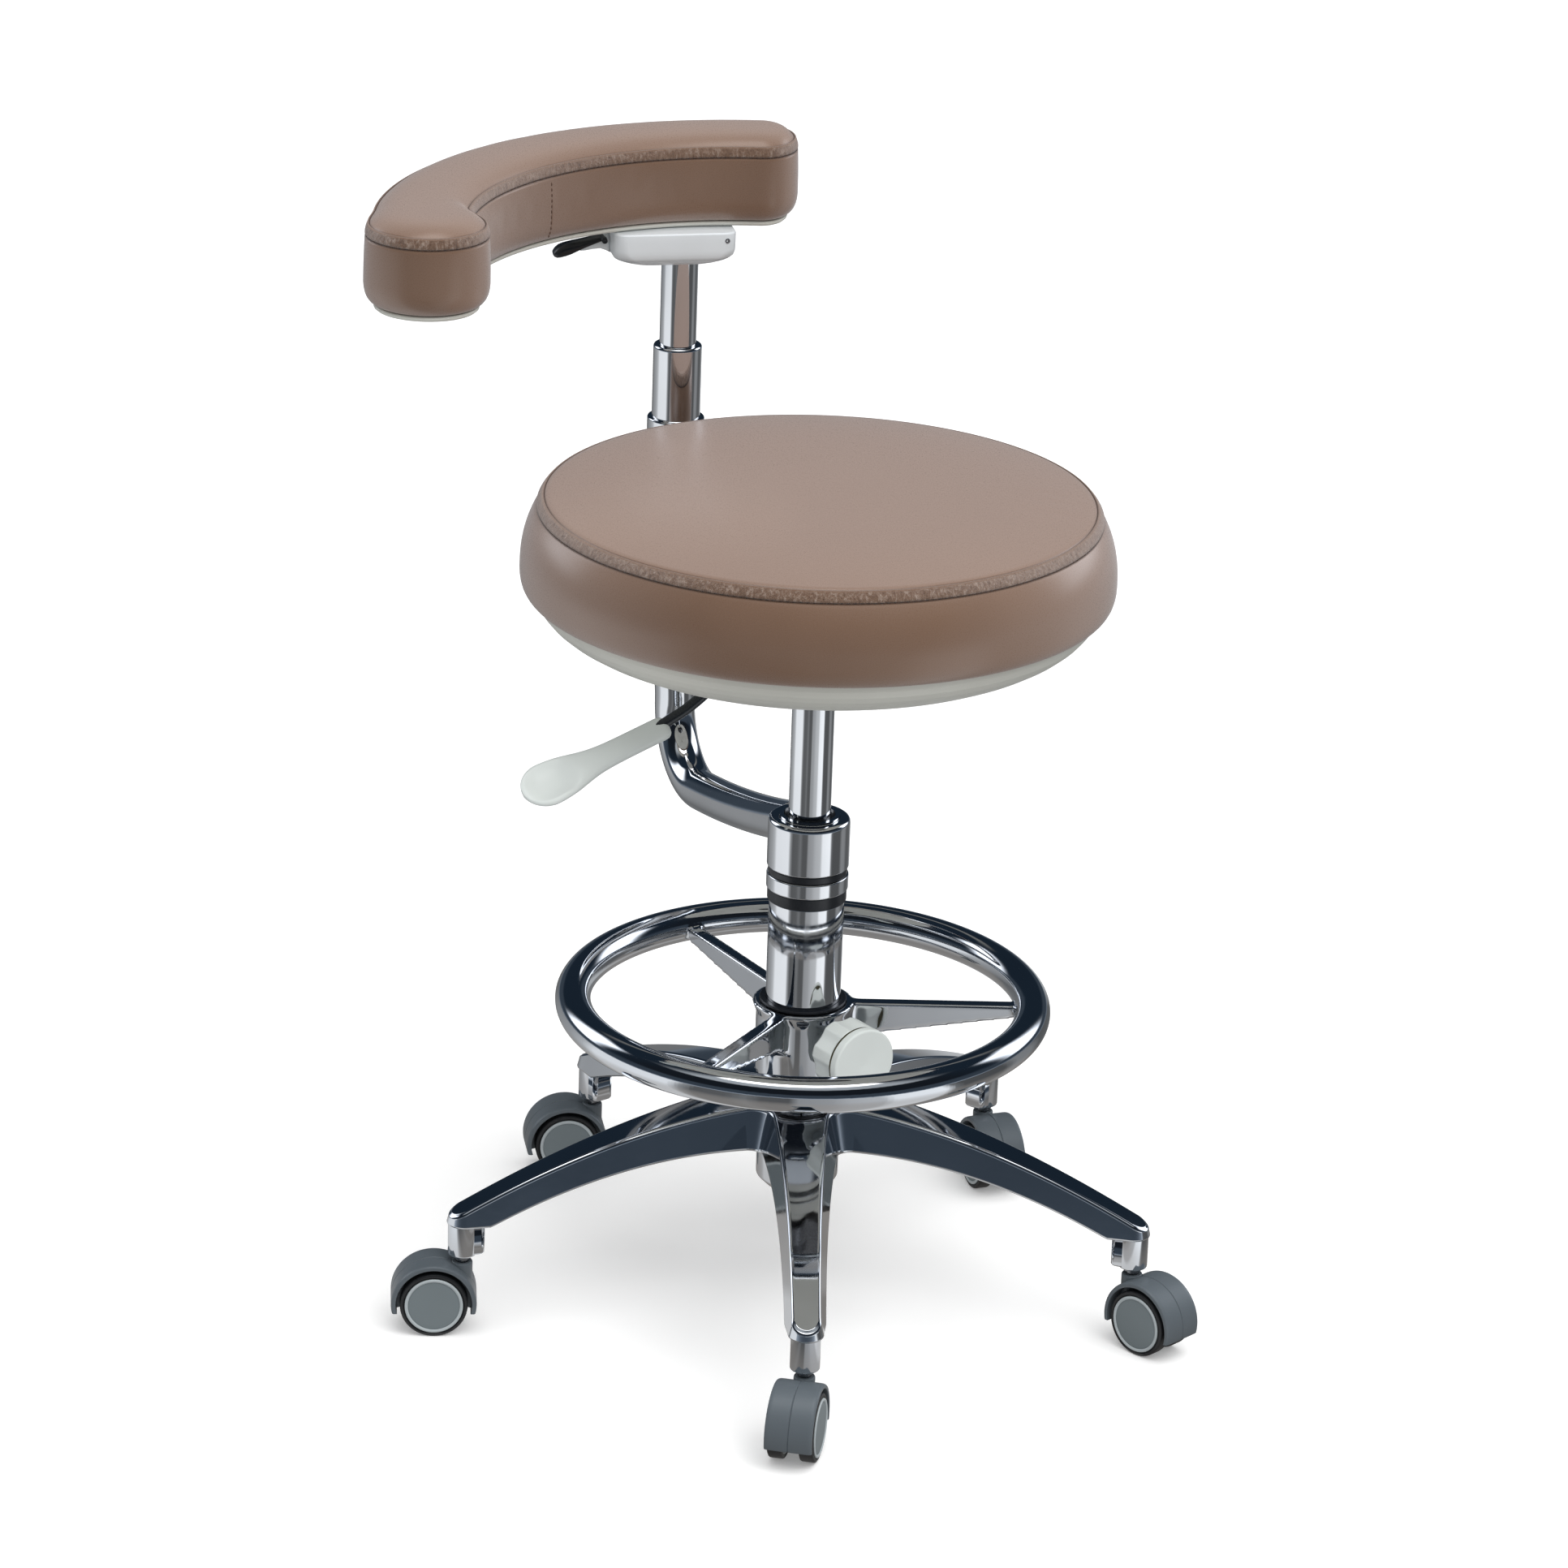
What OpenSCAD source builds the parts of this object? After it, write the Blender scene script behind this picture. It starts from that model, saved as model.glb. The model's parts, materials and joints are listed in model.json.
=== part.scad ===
// Dentist stool: five-star base on twin-wheel casters, gas-lift column, foot ring
// with a clamp knob, round seat, and a curved torso bar on a swivelling arm.
// Millimetres, +Z up. The origin is on the column's axis, at floor level.

/* [Base] */
// Distance from the column's axis to each caster stem
base_r = 234; // [220:1:260]
// Height of an arm's underside where it meets the hub
arm_root_z = 116; // [110:1:122]
// Height of an arm's top at the hub
hub_top = 148; // [142:1:154]
// Height of an arm's top at its outer end
arm_tip_top = 84; // [80:1:90]
// Half the width of an arm's top face at the hub
arm_half_w = 18.8; // [16:0.2:20]
// How much an arm narrows on each side, per millimetre of its length
arm_taper = 0.124; // [0.11:0.002:0.13]
// Draft of an arm's sides, in millimetres per millimetre of height
arm_draft = 0.25; // [0.1:0.05:0.3]
// Radius of the boss that holds a caster stem
boss_r = 9.7; // [9:0.1:12]

/* [Casters] */
// Radius of a caster's wheel over the tyre
wheel_r = 22.5; // [20:0.5:24]
// Thickness of the tyre
tyre_t = 3; // [2:0.5:4]
// Width of one wheel
wheel_w = 10.6; // [9:0.1:12]
// Outer radius of the hood
hood_r = 28.5; // [27.5:0.5:30]
// Wall of the hood over the wheels
hood_wall = 3.2; // [2:0.2:3.6]
// Width of the web between the two wheels
web_w = 10; // [9.5:0.5:12]
// Distance from the stem to the wheels' axle, which makes the caster trail
trail = 18.5; // [17:0.5:20]
// Radius of the stem in its socket
stem_r = 5.5; // [5:0.1:5.5]
// Depth of the stem's socket
socket_depth = 25; // [20:1:26]
// Radius of the wheels' axle
axle_r = 3; // [2.5:0.5:4]

/* [Column] */
// Outer radius of the column tube
tube_r = 25; // [24:0.5:27]
// Wall of the column tube
tube_wall = 2.5; // [2:0.5:4]
// Height of the top of the column tube
tube_top = 284; // [276:1:292]
// Radius of the gas cylinder
gas_r = 14; // [12.5:0.5:15]
// Radius of the piston rod
rod_r = 5; // [4:0.5:6]
// Radius of the neck that carries the rings and the arm's collar
neck_r = 20; // [19:0.5:21]
// Radius of the rings and the arm's collar
ring_r = 27.2; // [27:0.1:29]
// Height of the lower black washer
low_washer_h = 8.4; // [5:0.2:10]
// Height of the chrome spacer ring
spacer_h = 10.2; // [8:0.2:12]
// Height of the upper black washer
top_washer_h = 5.2; // [3:0.2:6]
// Height of the arm's collar
collar_h = 34; // [30:1:38]

/* [Foot ring] */
// Radius of the foot ring to the middle of its bar
foot_r = 153; // [140:1:170]
// Radius of the foot ring's bar
foot_bar_r = 11.8; // [10:0.1:13]
// Height of the foot ring's centre
foot_z = 209; // [206:1:216]
// Width of a spoke
spoke_w = 10; // [8:0.5:12]
// Depth of a spoke at the hub
spoke_root_h = 24; // [20:1:28]
// Depth of a spoke at the ring
spoke_tip_h = 10; // [8:0.5:12]
// Outer radius of the foot ring's hub
foot_hub_r = 31; // [30.5:0.5:33]
// Height of the foot ring's hub
foot_hub_h = 50; // [46:1:54]
// Wall of the bush inside the hub
bush_wall = 2; // [1.5:0.1:2.5]
// Radius of the clamp knob
knob_r = 23.5; // [20:0.5:25]
// Radius of the knob's threaded stud
stud_r = 4; // [3:0.5:5]

/* [Seat] */
// Height of the seat's crown above the floor
seat_z = 571; // [560:1:600]
// Radius of the cushion at its widest
seat_r = 194.4; // [185:0.2:205]
// Radius of the seam round the cushion's top
seat_seam_r = 179; // [165:1:184]
// Height of the cushion at the seam
seat_side_h = 61; // [55:1:66]
// Rise of the crown above the seam
seat_crown = 10; // [6:1:14]
// Depth of the pan under the cushion
pan_depth = 36.5; // [34:0.5:40]
// Wall of the pan
pan_wall = 3; // [2:0.5:4]
// Radius of the opening in the middle of the pan
pan_hole_r = 60; // [56:1:64]
// Thickness of the plywood board
board_t = 12; // [9:1:12]
// Thickness of the steel mounting plate
plate_t = 3; // [2.5:0.5:4]
// Side of the square mounting plate
plate_w = 150; // [140:1:160]
// Spacing of the four seat bolts
bolt_gap = 120; // [110:1:124]

/* [Height lever] */
// Radius of the lever's rod
lever_r = 3.6; // [3:0.2:4]
// Plan angle of the lever
lever_turn = 203; // [190:1:215]
// Distance from the column's axis to the lever's pivot
lever_in = 34; // [32:1:38]
// Distance from the column's axis to the near end of the handle
handle_start = 104; // [98:1:110]
// Length of the handle
handle_l = 106; // [96:1:110]
// Slope of the handle, downwards
handle_slope = 20; // [14:1:24]
// Radius of the handle's dished end
dish_r = 17; // [14:0.5:20]

/* [Arm] */
// Plan angle of the arm
arm_turn = 111.8; // [108:0.1:116]
// Distance from the column's axis to the post
post_off = 246; // [240:1:256]
// Outer radius of the arm tube
arm_r = 15.9; // [15:0.1:17]
// Wall of the arm tube
arm_wall = 2; // [1.5:0.1:2.4]
// Fall of the arm tube from the collar to the bend, in degrees
arm_fall = 9; // [0:1:10]
// Radius of the arm tube's bend, at its centre line
bend_r = 40; // [36:1:48]
// Height of the arm tube's upper end
arm_top = 533; // [520:1:545]
// Height of the sleeve above the arm tube
sleeve_h = 61; // [50:1:70]
// Outer radius of the sleeve
sleeve_r = 16.5; // [16:0.1:17.5]
// Radius of the post
post_r = 12.5; // [11.5:0.1:12.9]
// Height of the post's upper end
post_top = 671; // [664:1:674]

/* [Torso bar] */
// Inner radius of the bar in plan
bar_in_r = 186; // [178:1:192]
// Width of the bar
bar_w = 67; // [62:1:74]
// Radius of the round lobe at the bar's long end
lobe_r = 40.6; // [38:0.2:44]
// Height of the bar's cushion at its sides
bar_side_h = 50; // [44:1:56]
// Rise of the bar's crown
bar_crown = 8; // [4:1:12]
// Height of the underside of the bar's cushion
bar_z = 686; // [684:1:690]
// Thickness of the tray under the cushion
tray_t = 7; // [5:0.5:9]
// Width of the bracket under the tray
bracket_w = 83; // [76:1:90]
// Depth of the bracket, front to back
bracket_d = 58; // [50:1:62]
// Height of the bracket
bracket_h = 25; // [22:1:28]
// Length of the release paddle
paddle_l = 34; // [30:1:40]

/* [Hidden] */
$fn = 96;

// Clearances
run_gap = 0.05;    // radial gap of a shaft that turns or slides in its bore
face_gap = 0.2;    // gap between two flat faces that turn on each other
slip_gap = 0.1;    // radial gap of a plug that is fixed in its tube
side_gap = 0.6;    // gap on either side of a wheel
join = 0.5;        // how far a piece reaches into the next one that it is one with
join_step = 0.05;  // how much smaller it is there than the one that it reaches into
eps = 0.01;        // overshoot of a cut past the face that it opens
big = 600;         // larger than anything that a half space has to cut

// Base
arm_count = 5;
boss_z = 54;                   // underside of the caster bosses
hub_bottom = 78;
stub_r = tube_r + 2.5;         // narrow lower end of the hub
stub_chamfer = 7;
socket_floor = 10;             // wall under the column tube
tube_bottom = hub_bottom + socket_floor;
hub_fillet_r = 12;
arm_root_s = 46;               // where arm_half_w is measured
clip_r = 8;
arm_steps = 20;

// Casters
wheel_in = web_w / 2 + side_gap;
hood_half_w = wheel_in + wheel_w - side_gap;
hood_drop = 6;                 // how far the hood reaches below the axle
stem_low_r = 4;
flange_r = 6.5;
flange_h = 1.6;
hood_neck_r = 7;               // collar of the hood round the stem
hood_neck_gap = 5;             // from that collar to the boss
seam_w = 0.5;                  // groove where the hood's two halves meet
stem_foot = 12;                // how far the stem reaches into the hood's web
swivel = [256, 314, 288, 187, 182];

// Column heights, from the tube's top upwards
spacer_z = tube_top + low_washer_h;
top_washer_z = spacer_z + spacer_h;
collar_z = top_washer_z + top_washer_h + face_gap;
collar_top = collar_z + collar_h;
neck_top = collar_top + 1.6;
neck_plug = 70;                // how far the neck reaches into the tube
gas_wall = 3;                  // wall of the bush round the gas cylinder
tube_floor = 4;                // closed lower end of the column tube
bearing_h = 5;
gas_bottom = tube_bottom + 102;
piston_top = gas_bottom + 110;
gas_bore_top = piston_top + 95;

// Seat heights, from the crown downwards
seam_z = seat_z - seat_crown;
vinyl_z = seam_z - seat_side_h;
pan_r = seat_r - 10;
pan_flat_r = 95;
pan_z = vinyl_z - pan_depth;
board_r = pan_r - 16;
board_z = vinyl_z - board_t;
plate_z = board_z - plate_t;
socket_r = gas_r + 5;
gas_top = plate_z + plate_t;
lever_z = plate_z - 13;
bolt_r = 4;
bolt_head_r = 6.5;
bolt_head_h = 5;
bolt_grip = 8;
pan_screw_s = 136;             // where the pan is screwed to the board
pan_boss_r = 7;
pan_screw_r = 2;
screw_recess = 14;

// Lever
lever_mid_s = handle_start - 16;
lever_mid_z = lever_z - 43;
handle_z = lever_mid_z - 11;
handle_t = 11;
neck_half_w = 8;
lever_plug = 24;               // how far the rod reaches into the handle

// Arm and bar
arm_in_r = arm_r - arm_wall;
arm_z = collar_z + collar_h / 2 + 1;
sleeve_flange_r = 19.5;
sleeve_flange_h = 10;
sleeve_plug = 30;
sleeve_top = arm_top + sleeve_h;
post_bottom = arm_top - 95;
bracket_z = bar_z - tray_t - bracket_h;
lip_h = 11;
lip_in = 6;
bar_mid_r = bar_in_r + bar_w / 2;
bar_pos = [-42, 26.5];         // centre of the bar's curve
bar_from = 89.2;               // plan angle where the short end's round starts
bar_to = 183.9;                // plan angle of the lobe's centre
tray_in = 3;
short_end = 0.8;               // the short end's round, as a share of a half circle
lobe_out = 1.2;                // how far the lobe stands out past the bar's outer edge
lobe_step = 0.2;               // how much thinner the lobe is than the bar
lobe_seam = 37;                // where the lobe's surfaces start, clear of the bar's edges
bracket_turn = 10;
bracket_shift = 8;             // how far the bracket's middle lies from the post
paddle_r = 3;
paddle_w = 14;
paddle_t = 6;
paddle_fall = 14;

// Foot ring
bush_r = tube_r + bush_wall;
foot_bore_r = bush_r + run_gap;
hub_flare = 3;
foot_hub_top = foot_z + 2;
foot_hub_z = foot_hub_top - foot_hub_h;
bush_flange_h = 2.4;
spoke_top = foot_z + 3.4;
spoke_fillet = 9;
knob_turn = 304;
knob_z = foot_z - 19;
knob_in = foot_hub_r + 12;
knob_back_h = 20.5;
knob_front_h = 5;
knob_neck = 1.2;
knob_round = 2.5;
flute_count = 7;
flute_r = 11;
flute_depth = 2;
knob_cap = 3;                  // how much of the knob closes over the stud
stud_boss_r = 8;

// Points of a quadratic curve from a to c, drawn towards b
function curve(a, b, c, n) =
    [for (i = [0:n]) let (t = i / n) (1 - t) * (1 - t) * a + 2 * t * (1 - t) * b + t * t * c];

// Points of an arc about p, from angle a to angle b
function arc(p, r, a, b, n) =
    [for (i = [0:n]) let (t = a + (b - a) * i / n) p + r * [cos(t), sin(t)]];

module steel() { color("lightsteelblue") children(); }
module chrome() { color("silver") children(); }
module black() { color("#1d2126") children(); }
module cream() { color("#e9ece2") children(); }
module grey() { color("#6f777b") children(); }
module vinyl() { color("#8a6f60") children(); }

module tube(r_out, r_in, z, h) {
    difference() {
        translate([0, 0, z]) cylinder(r = r_out, h = h);
        translate([0, 0, z - eps]) cylinder(r = r_in, h = h + 2 * eps);
    }
}

// ---------- base ----------

// Everything below an arm's top curve and above its lower curve, swept round the axis
arm_end = base_r + boss_r;
arm_tip_s = base_r - boss_r - 6;
module base_sweep() {
    top = curve([arm_end, arm_tip_top - 1], [115, hub_top - 2], [0, hub_top], arm_steps);
    low = curve([arm_root_s - 6, arm_root_z], [125, arm_root_z + 2],
                [arm_tip_s, arm_tip_top - 8], arm_steps);
    rotate_extrude()
        polygon(concat([[0, hub_bottom], [stub_r - stub_chamfer, hub_bottom],
                        [stub_r, hub_bottom + stub_chamfer], [stub_r, arm_root_z - 20],
                        [arm_root_s - 13, arm_root_z - 7]],
                       low, [[arm_tip_s, boss_z + 6], [base_r, boss_z + 6],
                             [base_r, boss_z], [arm_end, boss_z]], top));
}

// One side of an arm as a half space whose face leans in with height and with distance
module arm_side() {
    lean = atan(arm_draft * cos(atan(arm_taper)));
    translate([arm_root_s, arm_half_w, hub_top - 4])
        rotate([lean, 0, -atan(arm_taper)])
            translate([-big / 2, -big, -big / 2])
                cube(big);
}

module arm_plan() {
    intersection() {
        translate([0, -big / 2, 0]) cube([base_r, big, hub_top]);
        arm_side();
        mirror([0, 1, 0]) arm_side();
    }
    translate([base_r, 0, 0]) cylinder(r = boss_r, h = hub_top);
}

module hub_core() {
    reach = (hub_fillet_r + arm_half_w + 3) / sin(180 / arm_count);
    difference() {
        cylinder(r = reach * cos(180 / arm_count) + 2, h = hub_top);
        for (i = [1:arm_count])
            rotate((i + 0.5) * 360 / arm_count - 90)
                translate([reach, 0, -eps]) cylinder(r = hub_fillet_r, h = hub_top + 2 * eps);
    }
    cylinder(r = stub_r, h = hub_top);
}

module base_star() chrome() {
    difference() {
        intersection() {
            base_sweep();
            union() {
                hub_core();
                for (i = [1:arm_count])
                    rotate(arm_angle(i)) arm_plan();
            }
        }
        translate([0, 0, tube_bottom]) cylinder(r = tube_r, h = big);
        translate([0, 0, hub_bottom - eps]) cylinder(r = clip_r + 1, h = big);
        for (i = [1:arm_count])
            rotate(arm_angle(i)) translate([base_r, 0, boss_z - eps])
                cylinder(r = stem_r + run_gap, h = socket_depth);
    }
}

function arm_angle(i) = (i - 1) * 360 / arm_count - 90;

// ---------- casters: the stem is at the origin, and the wheels trail along +X ----------

module at_caster(i) {
    rotate(arm_angle(i)) translate([base_r, 0, 0])
        rotate(swivel[i - 1] - arm_angle(i)) children();
}

module on_axle() {
    translate([trail, 0, wheel_r]) rotate([90, 0, 0]) children();
}

module caster_hood() grey() {
    round_r = 3;
    cavity_r = hood_r - hood_wall;
    difference() {
        union() {
            on_axle() rotate_extrude()
                polygon(concat([[0, -hood_half_w]],
                    arc([hood_r - round_r, round_r - hood_half_w], round_r, -90, 0, 4),
                    [[hood_r, -seam_w], [hood_r - seam_w, 0], [hood_r, seam_w]],
                    arc([hood_r - round_r, hood_half_w - round_r], round_r, 0, 90, 4),
                    [[0, hood_half_w]]));
            translate([0, 0, wheel_r])
                cylinder(r = hood_neck_r, h = boss_z - wheel_r - hood_neck_gap);
        }
        for (s = [-1, 1]) on_axle() translate([0, 0, s * (big + web_w) / 2])
            cylinder(r = cavity_r, h = big, center = true);
        on_axle() cylinder(r = axle_r, h = big, center = true);
        translate([0, 0, wheel_r - hood_drop - big / 2]) cube(big, center = true);
        translate([0, 0, boss_z - stem_foot - flange_h]) cylinder(r = stem_low_r, h = big);
    }
}

module caster_pins() black() {
    translate([0, 0, boss_z - stem_foot - flange_h]) cylinder(r = stem_low_r, h = stem_foot);
    translate([0, 0, boss_z - flange_h - face_gap]) cylinder(r = flange_r, h = flange_h);
    translate([0, 0, boss_z - face_gap - eps])
        cylinder(r = stem_r, h = socket_depth - 1);
    on_axle() cylinder(r = axle_r, h = 2 * (wheel_in + wheel_w) - 4, center = true);
}

// side is +1 or -1, for the wheel on either side of the web
module wheel_profile(side, points) {
    on_axle() mirror([0, 0, side > 0 ? 0 : 1]) rotate_extrude() polygon(points);
}

module caster_wheel(side) grey() {
    rim = wheel_r - tyre_t;
    wheel_profile(side,
        [[axle_r + run_gap, wheel_in], [rim, wheel_in], [rim, wheel_in + wheel_w - 1],
         [rim - 1, wheel_in + wheel_w], [rim - 2.5, wheel_in + wheel_w],
         [rim - 3.2, wheel_in + wheel_w - 0.7], [0, wheel_in + wheel_w - 0.7],
         [0, wheel_in + wheel_w - 1.9], [axle_r + run_gap, wheel_in + wheel_w - 1.9]]);
}

module caster_tyre(side) black() {
    rim = wheel_r - tyre_t;
    shoulder = 1;
    wheel_profile(side,
        [[rim, wheel_in], [wheel_r - shoulder, wheel_in], [wheel_r, wheel_in + shoulder],
         [wheel_r, wheel_in + wheel_w - 1 - shoulder],
         [wheel_r - shoulder, wheel_in + wheel_w - 1], [rim, wheel_in + wheel_w - 1]]);
}

// ---------- column ----------

module column_tube() chrome() {
    difference() {
        translate([0, 0, tube_bottom]) cylinder(r = tube_r, h = tube_top - tube_bottom);
        translate([0, 0, tube_bottom + tube_floor]) cylinder(r = tube_r - tube_wall, h = big);
        translate([0, 0, tube_bottom - eps]) cylinder(r = rod_r + run_gap, h = big);
    }
}

module column_neck() chrome() {
    tube(neck_r, gas_r + gas_wall, tube_top, neck_top - tube_top);
    tube(tube_r - tube_wall, gas_r + gas_wall, tube_top - neck_plug, neck_plug);
}

module gas_bush() black() {
    tube(gas_r + gas_wall, gas_r + run_gap, tube_top - neck_plug, neck_top - tube_top + neck_plug - 1);
}

module column_washers() black() {
    tube(ring_r - 0.9, neck_r, tube_top, low_washer_h);
    tube(ring_r - 0.9, neck_r, top_washer_z, top_washer_h);
}

module spacer_ring() chrome() {
    tube(ring_r, neck_r, spacer_z, spacer_h);
}

module thrust_bearing() steel() {
    tube(gas_r, rod_r + run_gap, tube_bottom + tube_floor, bearing_h);
}

module piston_rod() steel() {
    translate([0, 0, hub_bottom + 1]) cylinder(r = rod_r, h = piston_top - hub_bottom - 1);
    translate([0, 0, tube_bottom - 2.5]) cylinder(r = clip_r, h = 2.5 - face_gap);
    translate([0, 0, piston_top - 8]) cylinder(r = rod_r + 2, h = 8);
}

module gas_cylinder() chrome() {
    difference() {
        translate([0, 0, gas_bottom]) cylinder(r = gas_r, h = gas_top - gas_bottom);
        translate([0, 0, gas_bottom - eps]) cylinder(r = rod_r + run_gap, h = 14);
        translate([0, 0, gas_bottom + 10]) cylinder(r = rod_r + 2 + run_gap, h = gas_bore_top - gas_bottom);
    }
}

// ---------- seat ----------

module seat_cushion() vinyl() {
    edge = 5;
    bulge = [seat_r, vinyl_z + 0.3 * seat_side_h];
    rotate_extrude($fn = 144)
        polygon(concat([[0, vinyl_z], [seat_r - 8, vinyl_z]],
            curve([seat_r - 8, vinyl_z], [seat_r, vinyl_z + 2], bulge, 5),
            curve(bulge, [seat_r - 2, seam_z - 14], [seat_seam_r + 2, seam_z - edge], 5),
            curve([seat_seam_r + 2, seam_z - edge], [seat_seam_r + 1, seam_z],
                  [seat_seam_r - edge, seam_z + 1], 4),
            curve([seat_seam_r - edge, seam_z + 1], [seat_seam_r / 2, seat_z], [0, seat_z], 7)));
}

module bolt_places() {
    for (x = [-1, 1], y = [-1, 1])
        rotate(45 + lever_turn) translate([x * bolt_gap / 2, y * bolt_gap / 2, 0]) children();
}

module pan_screw_places() {
    for (i = [0:3]) rotate(lever_turn + 90 * i) translate([pan_screw_s, 0, 0]) children();
}

module seat_board() color("burlywood") {
    difference() {
        translate([0, 0, board_z]) cylinder(r = board_r, h = board_t);
        pan_screw_places() translate([0, 0, board_z - eps])
            cylinder(r = pan_screw_r, h = bolt_grip + eps);
        bolt_places() translate([0, 0, board_z - eps]) cylinder(r = bolt_r, h = bolt_grip + eps);
    }
}

// Height of the pan's outer face, or of its inner face if the wall is taken off
function pan_arc(wall, from, to) =
    [for (i = [0:12]) let (t = from + (to - from) * i / 12)
        [pan_flat_r + (pan_r - wall - pan_flat_r) * cos(t), vinyl_z - (pan_depth - wall) * sin(t)]];

module seat_pan() cream() {
    rise = sin(acos((pan_screw_s - pan_flat_r) / (pan_r - pan_flat_r)));
    boss_low = vinyl_z - pan_depth * rise + pan_wall / 2;
    difference() {
        union() {
            rotate_extrude($fn = 144)
                polygon(concat(pan_arc(0, 0, 90), [[pan_hole_r, pan_z]],
                               [[pan_hole_r, pan_z + pan_wall]], pan_arc(pan_wall, 90, 0)));
            pan_screw_places() translate([0, 0, boss_low])
                cylinder(r = pan_boss_r, h = board_z - boss_low);
        }
        pan_screw_places() translate([0, 0, pan_z]) cylinder(r = pan_screw_r, h = big);
        pan_screw_places() translate([0, 0, pan_z]) cylinder(r = pan_boss_r - 2.5, h = screw_recess);
    }
}

module seat_plate() steel() {
    flange = 14;
    difference() {
        union() {
            rotate(45 + lever_turn) {
                translate([-plate_w / 2, -plate_w / 2, plate_z]) cube([plate_w, plate_w, plate_t]);
                for (s = [0, 1])
                    translate([-plate_w / 2, s * (plate_w - plate_t) - plate_w / 2, plate_z - flange])
                        cube([plate_w, plate_t, flange]);
            }
            translate([0, 0, pan_z + 2]) cylinder(r = socket_r, h = plate_z - pan_z - 2);
            lever_ears();
        }
        translate([0, 0, pan_z]) cylinder(r = gas_r, h = big);
        bolt_places() translate([0, 0, plate_z - eps]) cylinder(r = bolt_r, h = big);
        lever_frame() cylinder(r = ear_pin_r, h = big, center = true);
    }
}

module seat_bolts() steel() {
    bolt_places() {
        translate([0, 0, plate_z - bolt_head_h]) cylinder(r = bolt_head_r, h = bolt_head_h, $fn = 6);
        translate([0, 0, plate_z]) cylinder(r = bolt_r, h = plate_t + bolt_grip);
    }
    head_z = pan_z + screw_recess;
    pan_screw_places() {
        translate([0, 0, head_z - pan_screw_r]) cylinder(r = 2 * pan_screw_r, h = pan_screw_r);
        translate([0, 0, head_z]) cylinder(r = pan_screw_r, h = board_z + bolt_grip - head_z);
    }
}

// ---------- height lever: its own frame has the pivot pin along Z ----------

ear_pin_r = 2.5;
ear_t = 3;
ear_r = 7;
eye_half = lever_r + face_gap;

module lever_frame() {
    rotate(lever_turn) translate([lever_in, 0, lever_z]) rotate([90, 0, 0]) children();
}

module lever_ears() {
    for (s = [-1, 1]) lever_frame() translate([0, 0, s * (eye_half + ear_t / 2)]) {
        cylinder(r = ear_r, h = ear_t, center = true);
        translate([-ear_r, 0, -ear_t / 2]) cube([2 * ear_r, plate_z - lever_z + eps, ear_t]);
        translate([-lever_in + socket_r - 3, 0, -ear_t / 2])
            cube([lever_in - socket_r, plate_z - lever_z + eps, ear_t]);
    }
}

module lever_pin() steel() {
    lever_frame() cylinder(r = ear_pin_r, h = 2 * (eye_half + ear_t) + 1, center = true);
}

module rod_between(a, b) {
    run = b - a;
    translate([a[0], 0, a[1]]) rotate([0, 90 - atan2(run[1], run[0]), 0])
        cylinder(r = lever_r, h = norm(run));
}

lever_path = [[lever_in, lever_z], [lever_mid_s, lever_mid_z],
              [handle_start + lever_plug * cos(handle_slope),
               handle_z - lever_plug * sin(handle_slope)]];

module lever_rod() black() {
    difference() {
        union() {
            rotate(lever_turn) {
                rod_between(lever_path[0], lever_path[1]);
                rod_between(lever_path[1], lever_path[2]);
                translate([lever_path[1][0], 0, lever_path[1][1]]) sphere(r = lever_r + 0.2, $fn = 48);
            }
            lever_frame() cylinder(r = ear_r - 1, h = 2 * lever_r - 1, center = true);
        }
        lever_frame() cylinder(r = ear_pin_r + run_gap, h = big, center = true);
    }
}

module lever_handle() cream() {
    dish_s = handle_l - dish_r;
    scoop_r = 40;
    difference() {
        rotate(lever_turn) translate([handle_start, 0, handle_z]) rotate([0, handle_slope, 0])
            intersection() {
                translate([0, 0, -big / 2]) linear_extrude(big)
                    polygon(concat(arc([neck_half_w, 0], neck_half_w, 90, 270, 12),
                        curve([neck_half_w, -neck_half_w], [dish_s - 30, -neck_half_w + 1],
                              [dish_s - 8, -dish_r + 2], 6),
                        arc([dish_s, 0], dish_r, -90, 90, 16),
                        curve([dish_s - 8, dish_r - 2], [dish_s - 30, neck_half_w - 1],
                              [neck_half_w, neck_half_w], 6)));
                rotate([90, 0, 0]) translate([0, 0, -big / 2]) linear_extrude(big)
                    polygon(concat(arc([handle_t / 2, 0], handle_t / 2, 90, 270, 10),
                        curve([handle_t / 2, -handle_t / 2], [dish_s, -handle_t / 2],
                              [handle_l - 3, -2], 8),
                        curve([handle_l, 3], [handle_l - 3, 6], [handle_l - 8, 6], 4),
                        [[dish_s - 26, handle_t / 2]]));
            }
        rotate(lever_turn) translate([handle_start, 0, handle_z]) rotate([0, handle_slope, 0])
            translate([dish_s, 0, scoop_r + 1.5]) sphere(r = scoop_r);
        rotate(lever_turn) rod_between(lever_path[1], lever_path[2]);
    }
}

// ---------- arm ----------

module arm_collar() chrome() {
    round_r = 4;
    bore = neck_r + run_gap;
    rotate_extrude()
        polygon(concat([[bore, collar_z], [ring_r - 0.6, collar_z], [ring_r, collar_z + 0.6]],
            arc([ring_r - round_r, collar_top - round_r], round_r, 0, 90, 6),
            [[bore, collar_top]]));
}

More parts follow.
